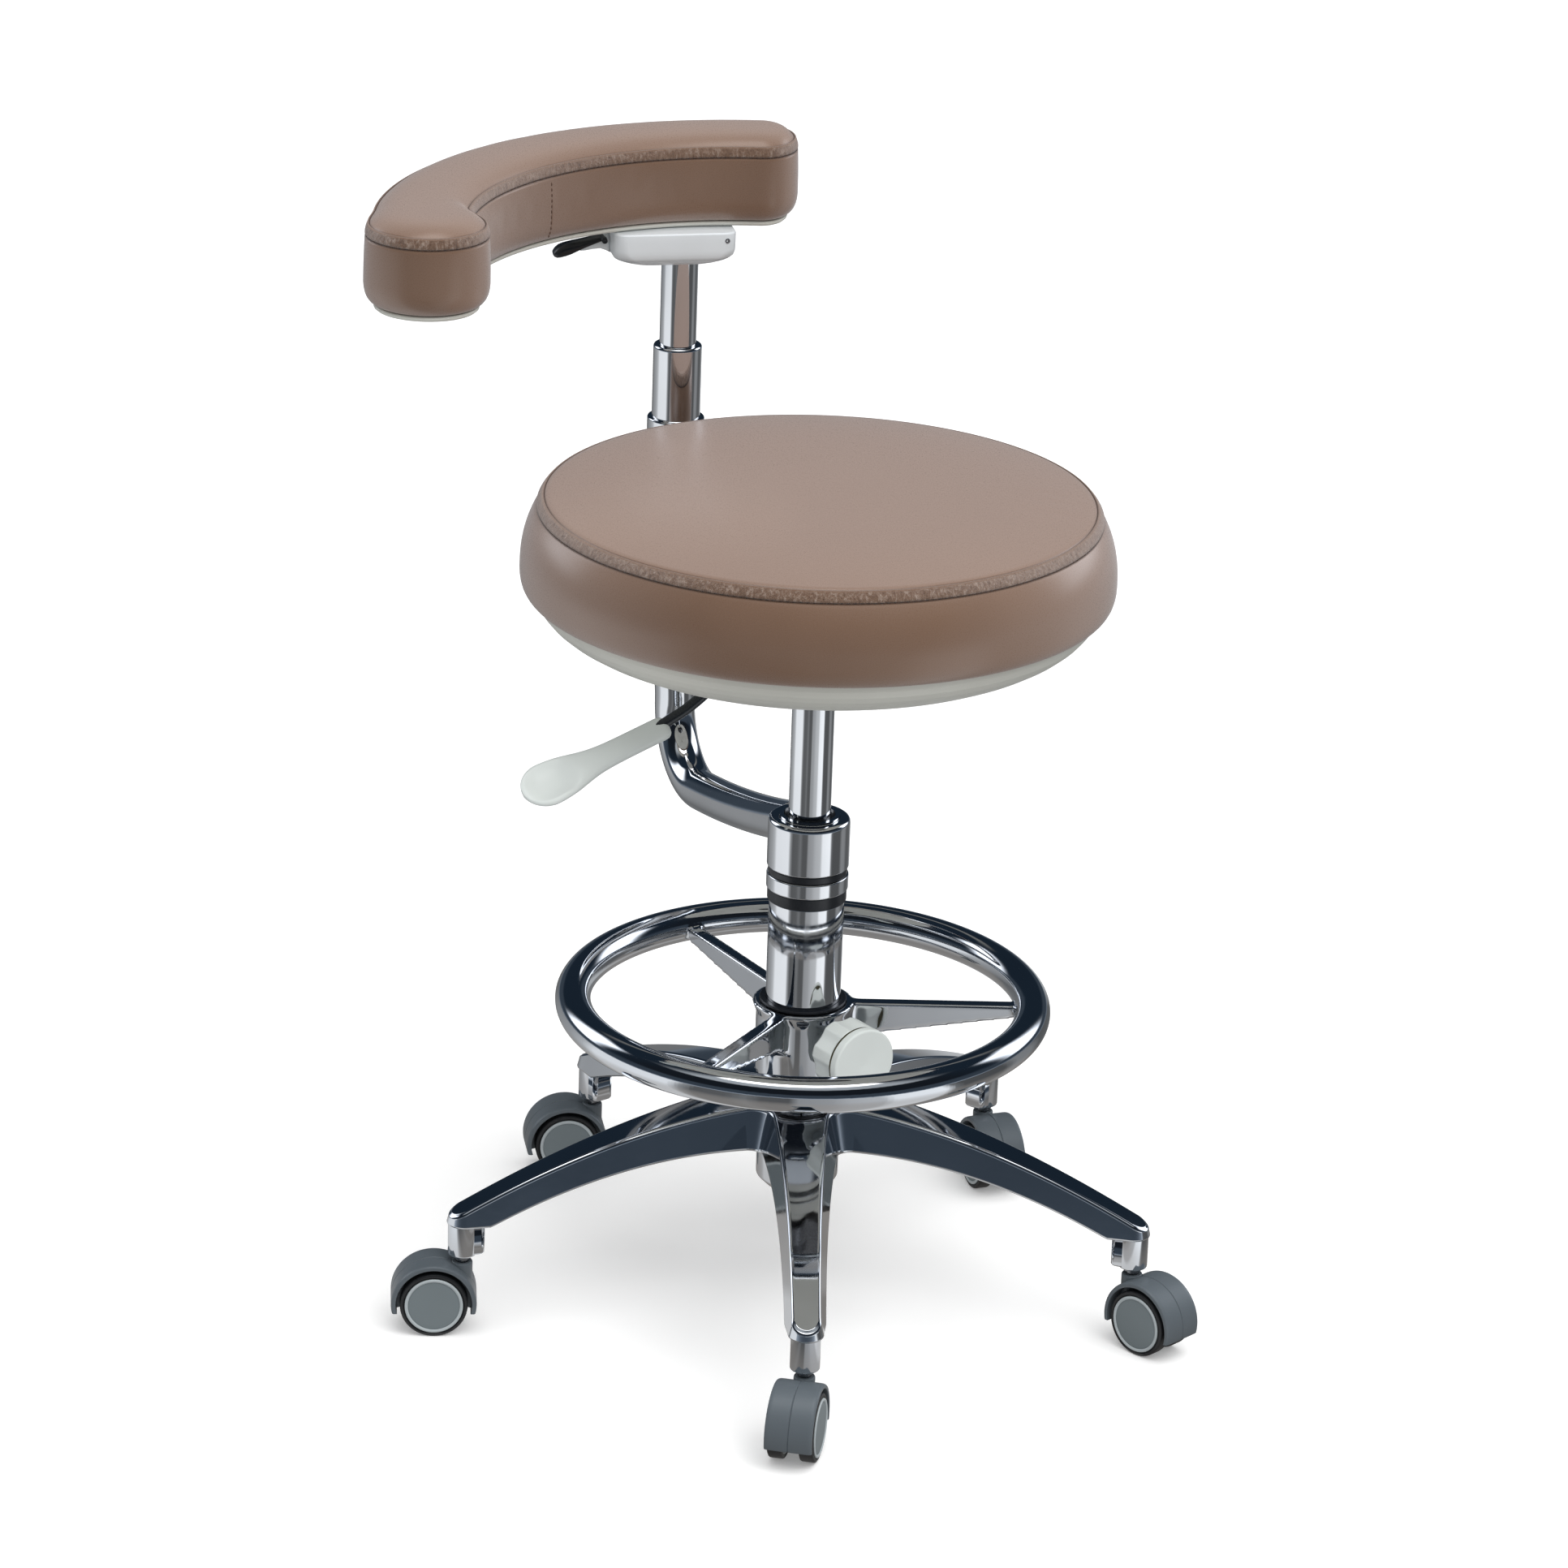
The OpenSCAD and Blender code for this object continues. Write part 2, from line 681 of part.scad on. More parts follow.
// The arm's centre line: a falling straight, a bend and an upright. The bend is a hair
// thicker, and both tubes reach into it, so no two faces coincide where they join.
bend_tan = bend_r * tan((90 + arm_fall) / 2);
bend_z = arm_z - tan(arm_fall) * post_off + bend_tan;
module arm_path(r, over) {
    straight = post_off / cos(arm_fall) - bend_tan;
    rotate(arm_turn) {
        translate([0, 0, arm_z]) rotate([0, 90 + arm_fall, 0]) translate([0, 0, -over])
            cylinder(r = r, h = straight + over + join);
        translate([post_off - bend_r, 0, bend_z]) rotate([90, 0, 0])
            rotate(-90 - arm_fall) rotate_extrude(angle = 90 + arm_fall)
                translate([bend_r, 0]) circle(r = r + join_step);
        translate([post_off, 0, bend_z - join]) cylinder(r = r, h = arm_top - bend_z + join + over);
    }
}

module arm_tube() chrome() {
    difference() {
        arm_path(arm_r, 0);
        arm_path(arm_in_r, 1);
        translate([0, 0, collar_z - big / 2]) cylinder(r = ring_r, h = big);
    }
}

module at_post() {
    rotate(arm_turn) translate([post_off, 0, 0]) children();
}

module post_sleeve() chrome() {
    bore = post_r + run_gap;
    round_r = 2.5;
    at_post() rotate_extrude()
        polygon(concat([[bore, arm_top - sleeve_plug], [arm_in_r - slip_gap, arm_top - sleeve_plug],
                        [arm_in_r - slip_gap, arm_top], [sleeve_flange_r, arm_top],
                        [sleeve_flange_r, arm_top + sleeve_flange_h - 1.5],
                        [sleeve_flange_r - 1.5, arm_top + sleeve_flange_h],
                        [sleeve_r, arm_top + sleeve_flange_h]],
            arc([sleeve_r - round_r, sleeve_top - round_r], round_r, 0, 90, 5),
            [[bore, sleeve_top]]));
}

module post_tube() chrome() {
    at_post() tube(post_r, post_r - 2, post_bottom, post_top - post_bottom);
}

// ---------- torso bar ----------

// Half of the section of a pad, from its middle to its edge
function half_section(half, z0, z1, crown) =
    let (corner = min(6, (z1 - z0) / 3))
    concat([[0, z0]], arc([half - corner, z0 + corner], corner, -90, 0, 4),
        arc([half - corner, z1 - corner], corner, 0, 70, 3),
        curve([half - corner, z1], [half / 2, z1 + crown], [0, z1 + crown], 4));

module whole_section(half) {
    polygon(concat(half, [for (i = [len(half) - 2:-1:1]) [-half[i][0], half[i][1]]]));
}

// A band of one section, swept along its curve, with a short round at one end and a wider
// lobe at the other
module bar_form(inset, z0, z1, crown) {
    half = bar_w / 2 - inset;
    lobe = lobe_r - inset;
    end = half_section(half - join_step, z0 + join_step, z1 - join_step, crown);
    translate([bar_pos[0], bar_pos[1], 0]) {
        rotate(bar_from) rotate_extrude(angle = bar_to - bar_from, $fn = 144)
            translate([bar_mid_r, 0]) whole_section(half_section(half, z0, z1, crown));
        rotate(bar_to) translate([bar_in_r + bar_w + lobe_out - lobe_r, 0, 0])
            rotate(lobe_seam) rotate_extrude()
                polygon(half_section(lobe, z0 + lobe_step, z1 - lobe_step, crown));
        rotate(bar_from) translate([bar_mid_r, 0, 0]) scale([1, -short_end, 1]) {
            rotate_extrude(angle = 180) polygon(end);
            rotate([90, 0, 0]) linear_extrude(join) whole_section(end);
        }
    }
}

module at_bar_screws(z) {
    for (a = [91, 123, 146, 170])
        translate([bar_pos[0], bar_pos[1], z]) rotate(a) translate([bar_mid_r + 11, 0, 0]) children();
}

screw_r = 2.5;
screw_grip = 12;               // how far a tray screw reaches into the cushion
module bar_cushion() vinyl() {
    difference() {
        bar_form(0, bar_z, bar_z + bar_side_h, bar_crown);
        at_bar_screws(bar_z - eps) cylinder(r = screw_r, h = screw_grip);
    }
}

module bar_tray() cream() {
    difference() {
        bar_form(tray_in, bar_z - tray_t, bar_z, 0);
        at_bar_screws(bar_z - tray_t - eps) cylinder(r = screw_r, h = tray_t + 2 * eps);
    }
}

module bar_screws() steel() {
    at_bar_screws(bar_z - tray_t) {
        cylinder(r = screw_r, h = tray_t + screw_grip - eps);
        translate([0, 0, -2]) cylinder(r = 2 * screw_r, h = 2);
    }
}

module plan_round(w, d, r) {
    for (x = [-1, 1], y = [-1, 1])
        translate([x * (w / 2 - r), y * (d / 2 - r)]) circle(r = r, $fn = 48);
    square([w - 2 * r, d], center = true);
    square([w, d - 2 * r], center = true);
}

module at_bracket() {
    at_post() rotate(bracket_turn - arm_turn) translate([-bracket_shift, 0, 0]) children();
}

paddle_x = -bracket_w / 2 - 4;
paddle_z = bracket_z + bracket_h - 9;

module bar_bracket() color("whitesmoke") {
    ear = 4;
    difference() {
        at_bracket() {
            translate([0, 0, bracket_z + lip_h])
                linear_extrude(bracket_h - lip_h) plan_round(bracket_w, bracket_d, 8);
            translate([0, 0, bracket_z])
                linear_extrude(lip_h) plan_round(bracket_w - 2 * lip_in, bracket_d - 2 * lip_in, 14);
            for (s = [-1, 1])
                translate([paddle_x - ear, s * (paddle_w / 2 + 0.3 + ear / 2) - ear / 2, paddle_z - ear])
                    cube([2 * ear + 6, ear, 2 * ear]);
        }
        at_post() translate([0, 0, bracket_z - eps])
            cylinder(r = post_r + run_gap, h = post_top - bracket_z + face_gap);
        at_bracket() translate([paddle_x, 0, paddle_z]) rotate([90, 0, 0])
            cylinder(r = paddle_r - 1 + run_gap, h = 2 * paddle_w, center = true);
    }
}

module bar_paddle() black() {
    at_bracket() translate([paddle_x, 0, paddle_z]) rotate([90, 0, 0]) {
        cylinder(r = paddle_r - 1, h = paddle_w + 7, center = true);
        translate([0, 0, -paddle_w / 2]) rotate(paddle_fall) linear_extrude(paddle_w)
            polygon(concat(arc([0, 0], paddle_r, -80, 80, 12),
                curve([-4, paddle_r], [-paddle_l, paddle_r + 1], [-paddle_l, -1], 8),
                curve([-paddle_l, -1], [-paddle_l + 2, -paddle_t], [-paddle_l * 0.6, -paddle_t], 6)));
    }
}

// ---------- foot ring ----------

module ring_bush() black() {
    tube(bush_r, tube_r + run_gap, foot_hub_z, foot_hub_h + bush_flange_h);
    tube(foot_hub_r - 2, tube_r + run_gap, foot_hub_top + face_gap, bush_flange_h - face_gap);
}

module spider_plan() {
    offset(r = -spoke_fillet, $fn = 64) offset(r = spoke_fillet) {
        circle(r = foot_hub_r, $fn = 96);
        for (a = [0, 120, 240])
            rotate(a) translate([0, -spoke_w / 2]) square([foot_r, spoke_w]);
    }
}

module foot_ring() chrome() {
    difference() {
        union() {
            translate([0, 0, foot_z]) rotate_extrude($fn = 144)
                translate([foot_r, 0]) circle(r = foot_bar_r, $fn = 64);
            intersection() {
                translate([0, 0, foot_hub_z]) linear_extrude(foot_hub_h) spider_plan();
                rotate_extrude($fn = 144)
                    polygon([[0, foot_hub_z], [foot_hub_r, foot_hub_z],
                             [foot_hub_r + 1, spoke_top - spoke_root_h - 6],
                             [foot_hub_r + 10, spoke_top - spoke_root_h],
                             [foot_r - 9, spoke_top - spoke_tip_h], [foot_r, spoke_top - spoke_tip_h],
                             [foot_r, spoke_top - 2], [foot_hub_r + 8, spoke_top - 2],
                             [foot_hub_r, foot_hub_top], [0, foot_hub_top]]);
            }
            translate([0, 0, foot_hub_z]) cylinder(r = foot_hub_r, h = foot_hub_h);
            translate([0, 0, foot_hub_top - 8])
                cylinder(r1 = foot_hub_r, r2 = foot_hub_r + hub_flare, h = 8);
            at_knob() cylinder(r = stud_boss_r, h = knob_in - 1);
        }
        translate([0, 0, foot_hub_z - eps]) cylinder(r = foot_bore_r, h = foot_hub_h + 1);
        at_knob() cylinder(r = stud_r + run_gap, h = big);
    }
}

module at_knob() {
    rotate(knob_turn) translate([0, 0, knob_z]) rotate([0, 90, 0]) children();
}

module clamp_knob() cream() {
    front = knob_in + knob_back_h + knob_neck;
    end = front + knob_front_h;
    difference() {
        at_knob() rotate_extrude()
            polygon(concat([[stud_r, knob_in], [knob_r - 2, knob_in], [knob_r, knob_in + 2]],
                [[knob_r, knob_in + knob_back_h], [knob_r - 2.5, knob_in + knob_back_h],
                 [knob_r - 2.5, front], [knob_r - 0.5, front]],
                arc([knob_r - 0.5 - knob_round, end - knob_round], knob_round, 0, 90, 4),
                [[0, end], [0, end - knob_cap], [stud_r, end - knob_cap]]));
        for (i = [0:flute_count - 1])
            at_knob() rotate((i + 0.5) * 360 / flute_count)
                translate([knob_r + flute_r - flute_depth, 0, knob_in - eps])
                    cylinder(r = flute_r, h = knob_back_h + knob_neck / 2);
    }
}

module knob_stud() steel() {
    tip = foot_bore_r + 0.3;
    at_knob() translate([0, 0, tip]) cylinder(r = stud_r, h = knob_in + knob_back_h + knob_neck
        + knob_front_h - knob_cap - tip);
}

// ---------- the parts ----------

base_star();
column_tube();
column_neck();
gas_bush();
column_washers();
spacer_ring();
thrust_bearing();
piston_rod();
gas_cylinder();
seat_plate();
seat_board();
seat_pan();
seat_cushion();
seat_bolts();
lever_pin();
lever_rod();
lever_handle();
arm_collar();
arm_tube();
post_sleeve();
post_tube();
bar_bracket();
bar_tray();
bar_cushion();
bar_screws();
bar_paddle();
ring_bush();
foot_ring();
clamp_knob();
knob_stud();
for (i = [1:arm_count]) {
    at_caster(i) caster_hood();
    at_caster(i) caster_pins();
    at_caster(i) caster_wheel(1);
    at_caster(i) caster_wheel(-1);
    at_caster(i) caster_tyre(1);
    at_caster(i) caster_tyre(-1);
}
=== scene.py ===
"""Dentist stool: the looks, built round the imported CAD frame.

Lengths are in millimetres, as in the CAD source, and the mesh helpers turn them into metres.
+Z is up, the origin is on the column's axis at floor level, and the camera stands in front, at -Y.
"""
import json
import math

import bmesh
import bpy
import numpy as np
from mathutils import Matrix, Vector
from mathutils.bvhtree import BVHTree
from mathutils.kdtree import KDTree

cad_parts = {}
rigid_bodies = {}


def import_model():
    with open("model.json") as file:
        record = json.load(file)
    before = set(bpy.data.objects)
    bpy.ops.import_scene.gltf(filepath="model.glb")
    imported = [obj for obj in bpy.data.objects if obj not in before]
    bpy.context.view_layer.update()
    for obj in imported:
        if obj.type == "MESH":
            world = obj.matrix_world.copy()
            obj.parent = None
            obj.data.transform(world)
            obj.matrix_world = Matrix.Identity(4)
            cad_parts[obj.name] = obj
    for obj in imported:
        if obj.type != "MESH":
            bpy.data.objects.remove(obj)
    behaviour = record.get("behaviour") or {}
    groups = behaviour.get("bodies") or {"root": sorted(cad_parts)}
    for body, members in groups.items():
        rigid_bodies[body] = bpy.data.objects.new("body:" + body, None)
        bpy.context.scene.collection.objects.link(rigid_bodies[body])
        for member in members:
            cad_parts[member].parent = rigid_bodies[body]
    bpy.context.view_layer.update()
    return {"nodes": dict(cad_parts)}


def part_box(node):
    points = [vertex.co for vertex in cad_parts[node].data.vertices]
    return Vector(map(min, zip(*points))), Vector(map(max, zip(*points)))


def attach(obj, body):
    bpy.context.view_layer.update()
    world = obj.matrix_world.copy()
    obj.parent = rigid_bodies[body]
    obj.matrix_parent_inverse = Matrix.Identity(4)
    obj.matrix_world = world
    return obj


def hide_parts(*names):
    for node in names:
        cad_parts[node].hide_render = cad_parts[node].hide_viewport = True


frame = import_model()
nodes = frame["nodes"]
MM = 0.001

# ---------- sizes shared with the CAD source ----------

BASE_R, ARM_COUNT = 234, 5
HUB_TOP, ARM_TIP_TOP = 148, 84
ARM_ROOT_Z, ARM_ROOT_S, HUB_BOTTOM = 116, 46, 78
ARM_HALF_W, ARM_TAPER, ARM_DRAFT = 18.8, 0.124, 0.25
BOSS_R, BOSS_Z, STUB_R = 9.7, 54, 27.5
HUB_FILLET_R = 12
WHEEL_R, TYRE_T, WHEEL_W, TRAIL = 22.5, 3, 10.6, 18.5
HOOD_R, HOOD_WALL, WEB_W, HOOD_DROP = 28.5, 3.2, 10, 6
WHEEL_IN = WEB_W / 2 + 0.6
HOOD_HALF_W = WHEEL_IN + WHEEL_W - 0.6
SWIVEL = [256, 314, 288, 187, 182]
TUBE_R, TUBE_TOP, TUBE_BOTTOM = 25, 284, 88
GAS_R, NECK_R, RING_R = 14, 20, 27.2
LOW_WASHER_H, SPACER_H, TOP_WASHER_H, COLLAR_H = 8.4, 10.2, 5.2, 34
SPACER_Z = TUBE_TOP + LOW_WASHER_H
TOP_WASHER_Z = SPACER_Z + SPACER_H
COLLAR_Z = TOP_WASHER_Z + TOP_WASHER_H + 0.2
COLLAR_TOP = COLLAR_Z + COLLAR_H
FOOT_R, FOOT_BAR_R, FOOT_Z = 153, 11.8, 209
FOOT_HUB_R, FOOT_HUB_TOP, FOOT_HUB_Z = 31, 211, 161
KNOB_R, KNOB_TURN, KNOB_Z, KNOB_IN = 23.5, 304, 190, 43
SEAT_Z, SEAT_R, SEAM_R, SEAM_Z, VINYL_Z = 571, 194.4, 179, 561, 500
LEVER_TURN, LEVER_Z, LEVER_IN = 203, 472, 34
LEVER_MID = (88, 429)
HANDLE_START, HANDLE_Z, HANDLE_L, HANDLE_SLOPE = 104, 418, 106, 20
HANDLE_T, NECK_HALF_W, DISH_R, HANDLE_ROLL = 11, 9.4, 18.5, 24
ARM_TURN, POST_OFF, ARM_TOP = 111.8, 246, 533
ARM_R, BEND_FALL, BEND_R, BEND_Z, SWEEP_R = 13.9, 9, 48, 337, 1150
BEND_TURN, BEND_OFF = 110.7, 245
SLEEVE_R, SLEEVE_TOP, FLANGE_R, FLANGE_H = 16.5, 594, 19.5, 10
POST_R, POST_BOTTOM, POST_TOP = 12.5, 438, 671
BAR_POS, BAR_IN_R, BAR_W = (-42, 26.5), 186, 67
BAR_FROM, BAR_TO, LOBE_R, LOBE_OUT = 89.2, 183.9, 40.6, 1.2
SHORT_END = 0.8
BAR_Z, BAR_SIDE_H, BAR_CROWN, TRAY_T, TRAY_IN = 686, 50, 8, 7, 3
BRACKET_W, BRACKET_D, BRACKET_H, BRACKET_TURN, BRACKET_SHIFT = 83, 58, 25, 10, 8
PADDLE_L, PADDLE_W, PADDLE_FALL = 34, 14, 14
POST_AT = (POST_OFF * math.cos(math.radians(ARM_TURN)), POST_OFF * math.sin(math.radians(ARM_TURN)))


def arm_angle(i):
    return i * 360 / ARM_COUNT - 90


# ---------- mesh helpers ----------


def linked(name, data):
    """An object in the scene, around a mesh, a lamp or a camera."""
    obj = bpy.data.objects.new(name, data)
    bpy.context.scene.collection.objects.link(obj)
    return obj


def polar(angle):
    return Vector((math.cos(angle), math.sin(angle)))


def squared(value, power):
    """A sine or cosine drawn towards the corners of its square, for a fuller section than a circle."""
    return abs(value) ** power * math.copysign(1, value)


def point_tree(points):
    tree = KDTree(len(points))
    for k, p in enumerate(points):
        tree.insert(p, k)
    tree.balance()
    return tree


def new_object(name, points, faces):
    """An object from points in millimetres."""
    mesh = bpy.data.meshes.new(name)
    mesh.from_pydata((np.asarray(points, float).reshape(-1, 3) * MM).tolist(), [], faces)
    bm = bmesh.new()
    bm.from_mesh(mesh)
    bmesh.ops.remove_doubles(bm, verts=bm.verts, dist=1e-6)
    bmesh.ops.dissolve_degenerate(bm, edges=bm.edges, dist=1e-7)
    bmesh.ops.recalc_face_normals(bm, faces=bm.faces)
    bm.to_mesh(mesh)
    bm.free()
    mesh.shade_smooth()
    return linked(name, mesh)


def grid_faces(rows, cols, ring=True, loop=False, first=0):
    """Quads between rows of points. ring joins each row's ends, and loop joins the last row to the first."""
    faces = []
    for r in range(rows if loop else rows - 1):
        for c in range(cols if ring else cols - 1):
            a, b = first + r * cols, first + ((r + 1) % rows) * cols
            faces.append((a + c, a + (c + 1) % cols, b + (c + 1) % cols, b + c))
    return faces


def capped_faces(rows, cols):
    """Quads between rings of points, and one face over each end."""
    last = (rows - 1) * cols
    return grid_faces(rows, cols) + [tuple(range(cols)), tuple(range(last, last + cols))]


def rounded(points, radius, steps=4):
    """The same outline with its corners rounded. radius is one number, or one for each corner."""
    out, count = [], len(points)
    for i, point in enumerate(points):
        r = radius[i] if hasattr(radius, "__len__") else radius
        p = Vector(point)
        before, after = Vector(points[i - 1]) - p, Vector(points[(i + 1) % count]) - p
        if r == 0:
            out.append(tuple(p))
            continue
        reach = r / math.tan(before.angle(after) / 2)
        a = p + before.normalized() * min(reach, 0.45 * before.length)
        b = p + after.normalized() * min(reach, 0.45 * after.length)
        for k in range(steps + 1):
            t = k / steps
            out.append(tuple((1 - t) ** 2 * a + 2 * t * (1 - t) * p + t * t * b))
    return out


def crisp(obj):
    """Keeps flat faces flat in the shading, next to their small rounded edges."""
    modifier = obj.modifiers.new("Normals", "WEIGHTED_NORMAL")
    modifier.keep_sharp = True
    return obj


def lathe(name, profile, at=(0, 0, 0), matrix=None, segments=96, closed=True, wave=None):
    """A turned piece. profile is a list of (radius, height), and wave(angle, row) scales the radius."""
    rows = []
    for row, (r, z) in enumerate(profile):
        for k in range(segments):
            a = 2 * math.pi * k / segments
            s = r * (wave(a, row) if wave else 1)
            rows.append((s * math.cos(a), s * math.sin(a), z))
    points = np.array(rows)
    if matrix is not None:
        points = points @ np.array(matrix.to_3x3()).T
    points = points + np.array(at, float)
    return crisp(new_object(name, points, grid_faces(len(profile), segments, loop=closed)))


def tube(name, path, radius, sides, up):
    """A round bar along a path, with flat ends. up lies across the path's plane."""
    path, points = [Vector(p) for p in path], []
    for i, p in enumerate(path):
        run = (path[min(i + 1, len(path) - 1)] - path[max(i - 1, 0)]).normalized()
        side = run.cross(up).normalized()
        top = side.cross(run).normalized()
        points += [p + radius * (math.cos(a) * side + math.sin(a) * top)
                   for a in np.linspace(0, 2 * math.pi, sides, endpoint=False)]
    return new_object(name, points, capped_faces(len(path), sides))


def join(name, objs):
    """One object from several, with each one's materials kept."""
    mesh, bm = bpy.data.meshes.new(name), bmesh.new()
    slots = []
    for o in objs:
        start = len(bm.faces)
        bm.from_mesh(o.data)
        bm.faces.ensure_lookup_table()
        moved = {}
        for k, m in enumerate(o.data.materials):
            if m not in slots:
                slots.append(m)
            moved[k] = slots.index(m)
        for f in bm.faces[start:]:
            f.material_index = moved.get(f.material_index, 0)
    bm.to_mesh(mesh)
    bm.free()
    for m in slots:
        mesh.materials.append(m)
    for o in objs:
        bpy.data.objects.remove(o)
    return linked(name, mesh)


def finish_piece(obj, body, material, *replaced, slot=None):
    """Gives a piece its material and its body, and hides the CAD nodes that it stands for."""
    if material is not None:
        obj.data.materials.clear()
        obj.data.materials.append(material)
    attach(obj, body)
    if replaced:
        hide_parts(*replaced)
    return obj


def evaluated_mesh(obj):
    bpy.context.view_layer.update()
    depsgraph = bpy.context.evaluated_depsgraph_get()
    return bpy.data.meshes.new_from_object(obj.evaluated_get(depsgraph))


def coordinates(mesh):
    co = np.zeros(len(mesh.vertices) * 3)
    mesh.vertices.foreach_get("co", co)
    return co.reshape(-1, 3)


def taubin(mesh, passes):
    """Smooths a mesh without shrinking it."""
    edges = np.zeros(len(mesh.edges) * 2, int)
    mesh.edges.foreach_get("vertices", edges)
    a, b = edges.reshape(-1, 2).T
    co = coordinates(mesh)
    degree = np.bincount(np.r_[a, b], minlength=len(co))[:, None]
    for step in range(2 * passes):
        total = np.stack([np.bincount(np.r_[a, b], np.r_[co[b, k], co[a, k]], len(co))
                          for k in range(3)], axis=1)
        co = co + (total / degree - co) * (0.55 if step % 2 == 0 else -0.57)
    mesh.vertices.foreach_set("co", co.ravel())
    mesh.update()


def casting(name, source, voxel, passes):
    """A copy of a mesh with every edge softened, as a cast and polished part has."""
    copy = linked(name, source.data.copy())
    remesh = copy.modifiers.new("Remesh", "REMESH")
    remesh.mode, remesh.voxel_size = "VOXEL", voxel * MM
    mesh = evaluated_mesh(copy)
    bpy.data.objects.remove(copy)
    taubin(mesh, passes)
    mesh.shade_smooth()
    return linked(name, mesh)


# ---------- materials ----------


class Shader:
    """A Principled material with short calls for its nodes."""

    def __init__(self, name, **values):
        self.material = bpy.data.materials.new(name)
        self.material.use_nodes = True
        self.nodes = self.material.node_tree.nodes
        self.links = self.material.node_tree.links
        self.bsdf = self.nodes["Principled BSDF"]
        for key, value in values.items():
            socket = self.bsdf.inputs[key.replace("_", " ")]
            socket.default_value = (*value, 1) if hasattr(value, "__len__") else value

    def node(self, kind, inputs=(), **settings):
        node = self.nodes.new("ShaderNode" + kind)
        for key, value in settings.items():
            setattr(node, key, value)
        for key, value in dict(inputs).items():
            if isinstance(value, bpy.types.NodeSocket):
                self.links.new(value, node.inputs[key])
            else:
                node.inputs[key].default_value = value
        return node

    def place(self, scale=(1, 1, 1)):
        """The object's own coordinates, stretched."""
        source = self.node("TexCoord").outputs["Object"]
        return self.node("Mapping", {"Vector": source, "Scale": scale}).outputs["Vector"]

    def noise(self, scale, detail=2, stretch=(1, 1, 1), rough=0.5):
        inputs = {"Vector": self.place(stretch), "Scale": scale, "Detail": detail, "Roughness": rough}
        return self.node("TexNoise", inputs).outputs["Fac"]

    def cells(self, scale):
        inputs = {"Vector": self.place(), "Scale": scale}
        return self.node("TexVoronoi", inputs, feature="DISTANCE_TO_EDGE").outputs["Distance"]

    def remap(self, value, low, high, to_low, to_high):
        inputs = {"Value": value, "From Min": low, "From Max": high, "To Min": to_low, "To Max": to_high}
        return self.node("MapRange", inputs).outputs["Result"]

    def math(self, operation, a, b):
        return self.node("Math", {0: a, 1: b}, operation=operation).outputs[0]

    def mix(self, factor, a, b):
        node = self.node("Mix", {"Factor": factor}, data_type="RGBA")
        for socket, value in ((node.inputs["A"], a), (node.inputs["B"], b)):
            if isinstance(value, bpy.types.NodeSocket):
                self.links.new(value, socket)
            else:
                socket.default_value = (*value, 1)
        return next(o for o in node.outputs if o.type == "RGBA")

    def attribute(self, name):
        return self.node("Attribute", attribute_name=name).outputs["Fac"]

    def colour(self, value):
        self.links.new(value, self.bsdf.inputs["Base Color"])

    def roughness(self, value):
        self.links.new(value, self.bsdf.inputs["Roughness"])

    def bump(self, height, strength, distance, under=None):
        inputs = {"Height": height, "Strength": strength, "Distance": distance * MM}
        if under is not None:
            inputs["Normal"] = under
        return self.node("Bump", inputs).outputs["Normal"]

    def normal(self, value):
        self.links.new(value, self.bsdf.inputs["Normal"])
        return self


def polished(name, colour, rough, streaks, waves):
    """Polished metal: faint polishing lines along streaks, and the slow waves of a buffed surface."""
    s = Shader(name, Metallic=1.0)
    cloud = s.noise(9, 3)
    dark = tuple(c * 0.86 for c in colour)
    s.colour(s.mix(s.remap(cloud, 0.3, 0.7, 0, 1), dark, colour))
    lines = s.noise(260, 3, streaks)
    s.roughness(s.remap(lines, 0.25, 0.75, rough * 0.6, rough * 1.5))
    wave = s.bump(s.noise(waves, 1), 0.12, 1.0)
    return s.normal(s.bump(lines, 0.03, 0.1, wave)).material


def moulded(name, colour, rough, grain=900, depth=0.06):
    """Moulded plastic: a fine spark-eroded grain, and slightly dulled patches from handling."""
    s = Shader(name)
    patches = s.noise(14, 4)
    s.colour(s.mix(s.remap(patches, 0.3, 0.7, 0, 1), tuple(c * 0.93 for c in colour), colour))
    s.roughness(s.remap(patches, 0.3, 0.7, rough * 0.85, rough * 1.15))
    return s.normal(s.bump(s.noise(grain, 2), depth, 0.1)).material


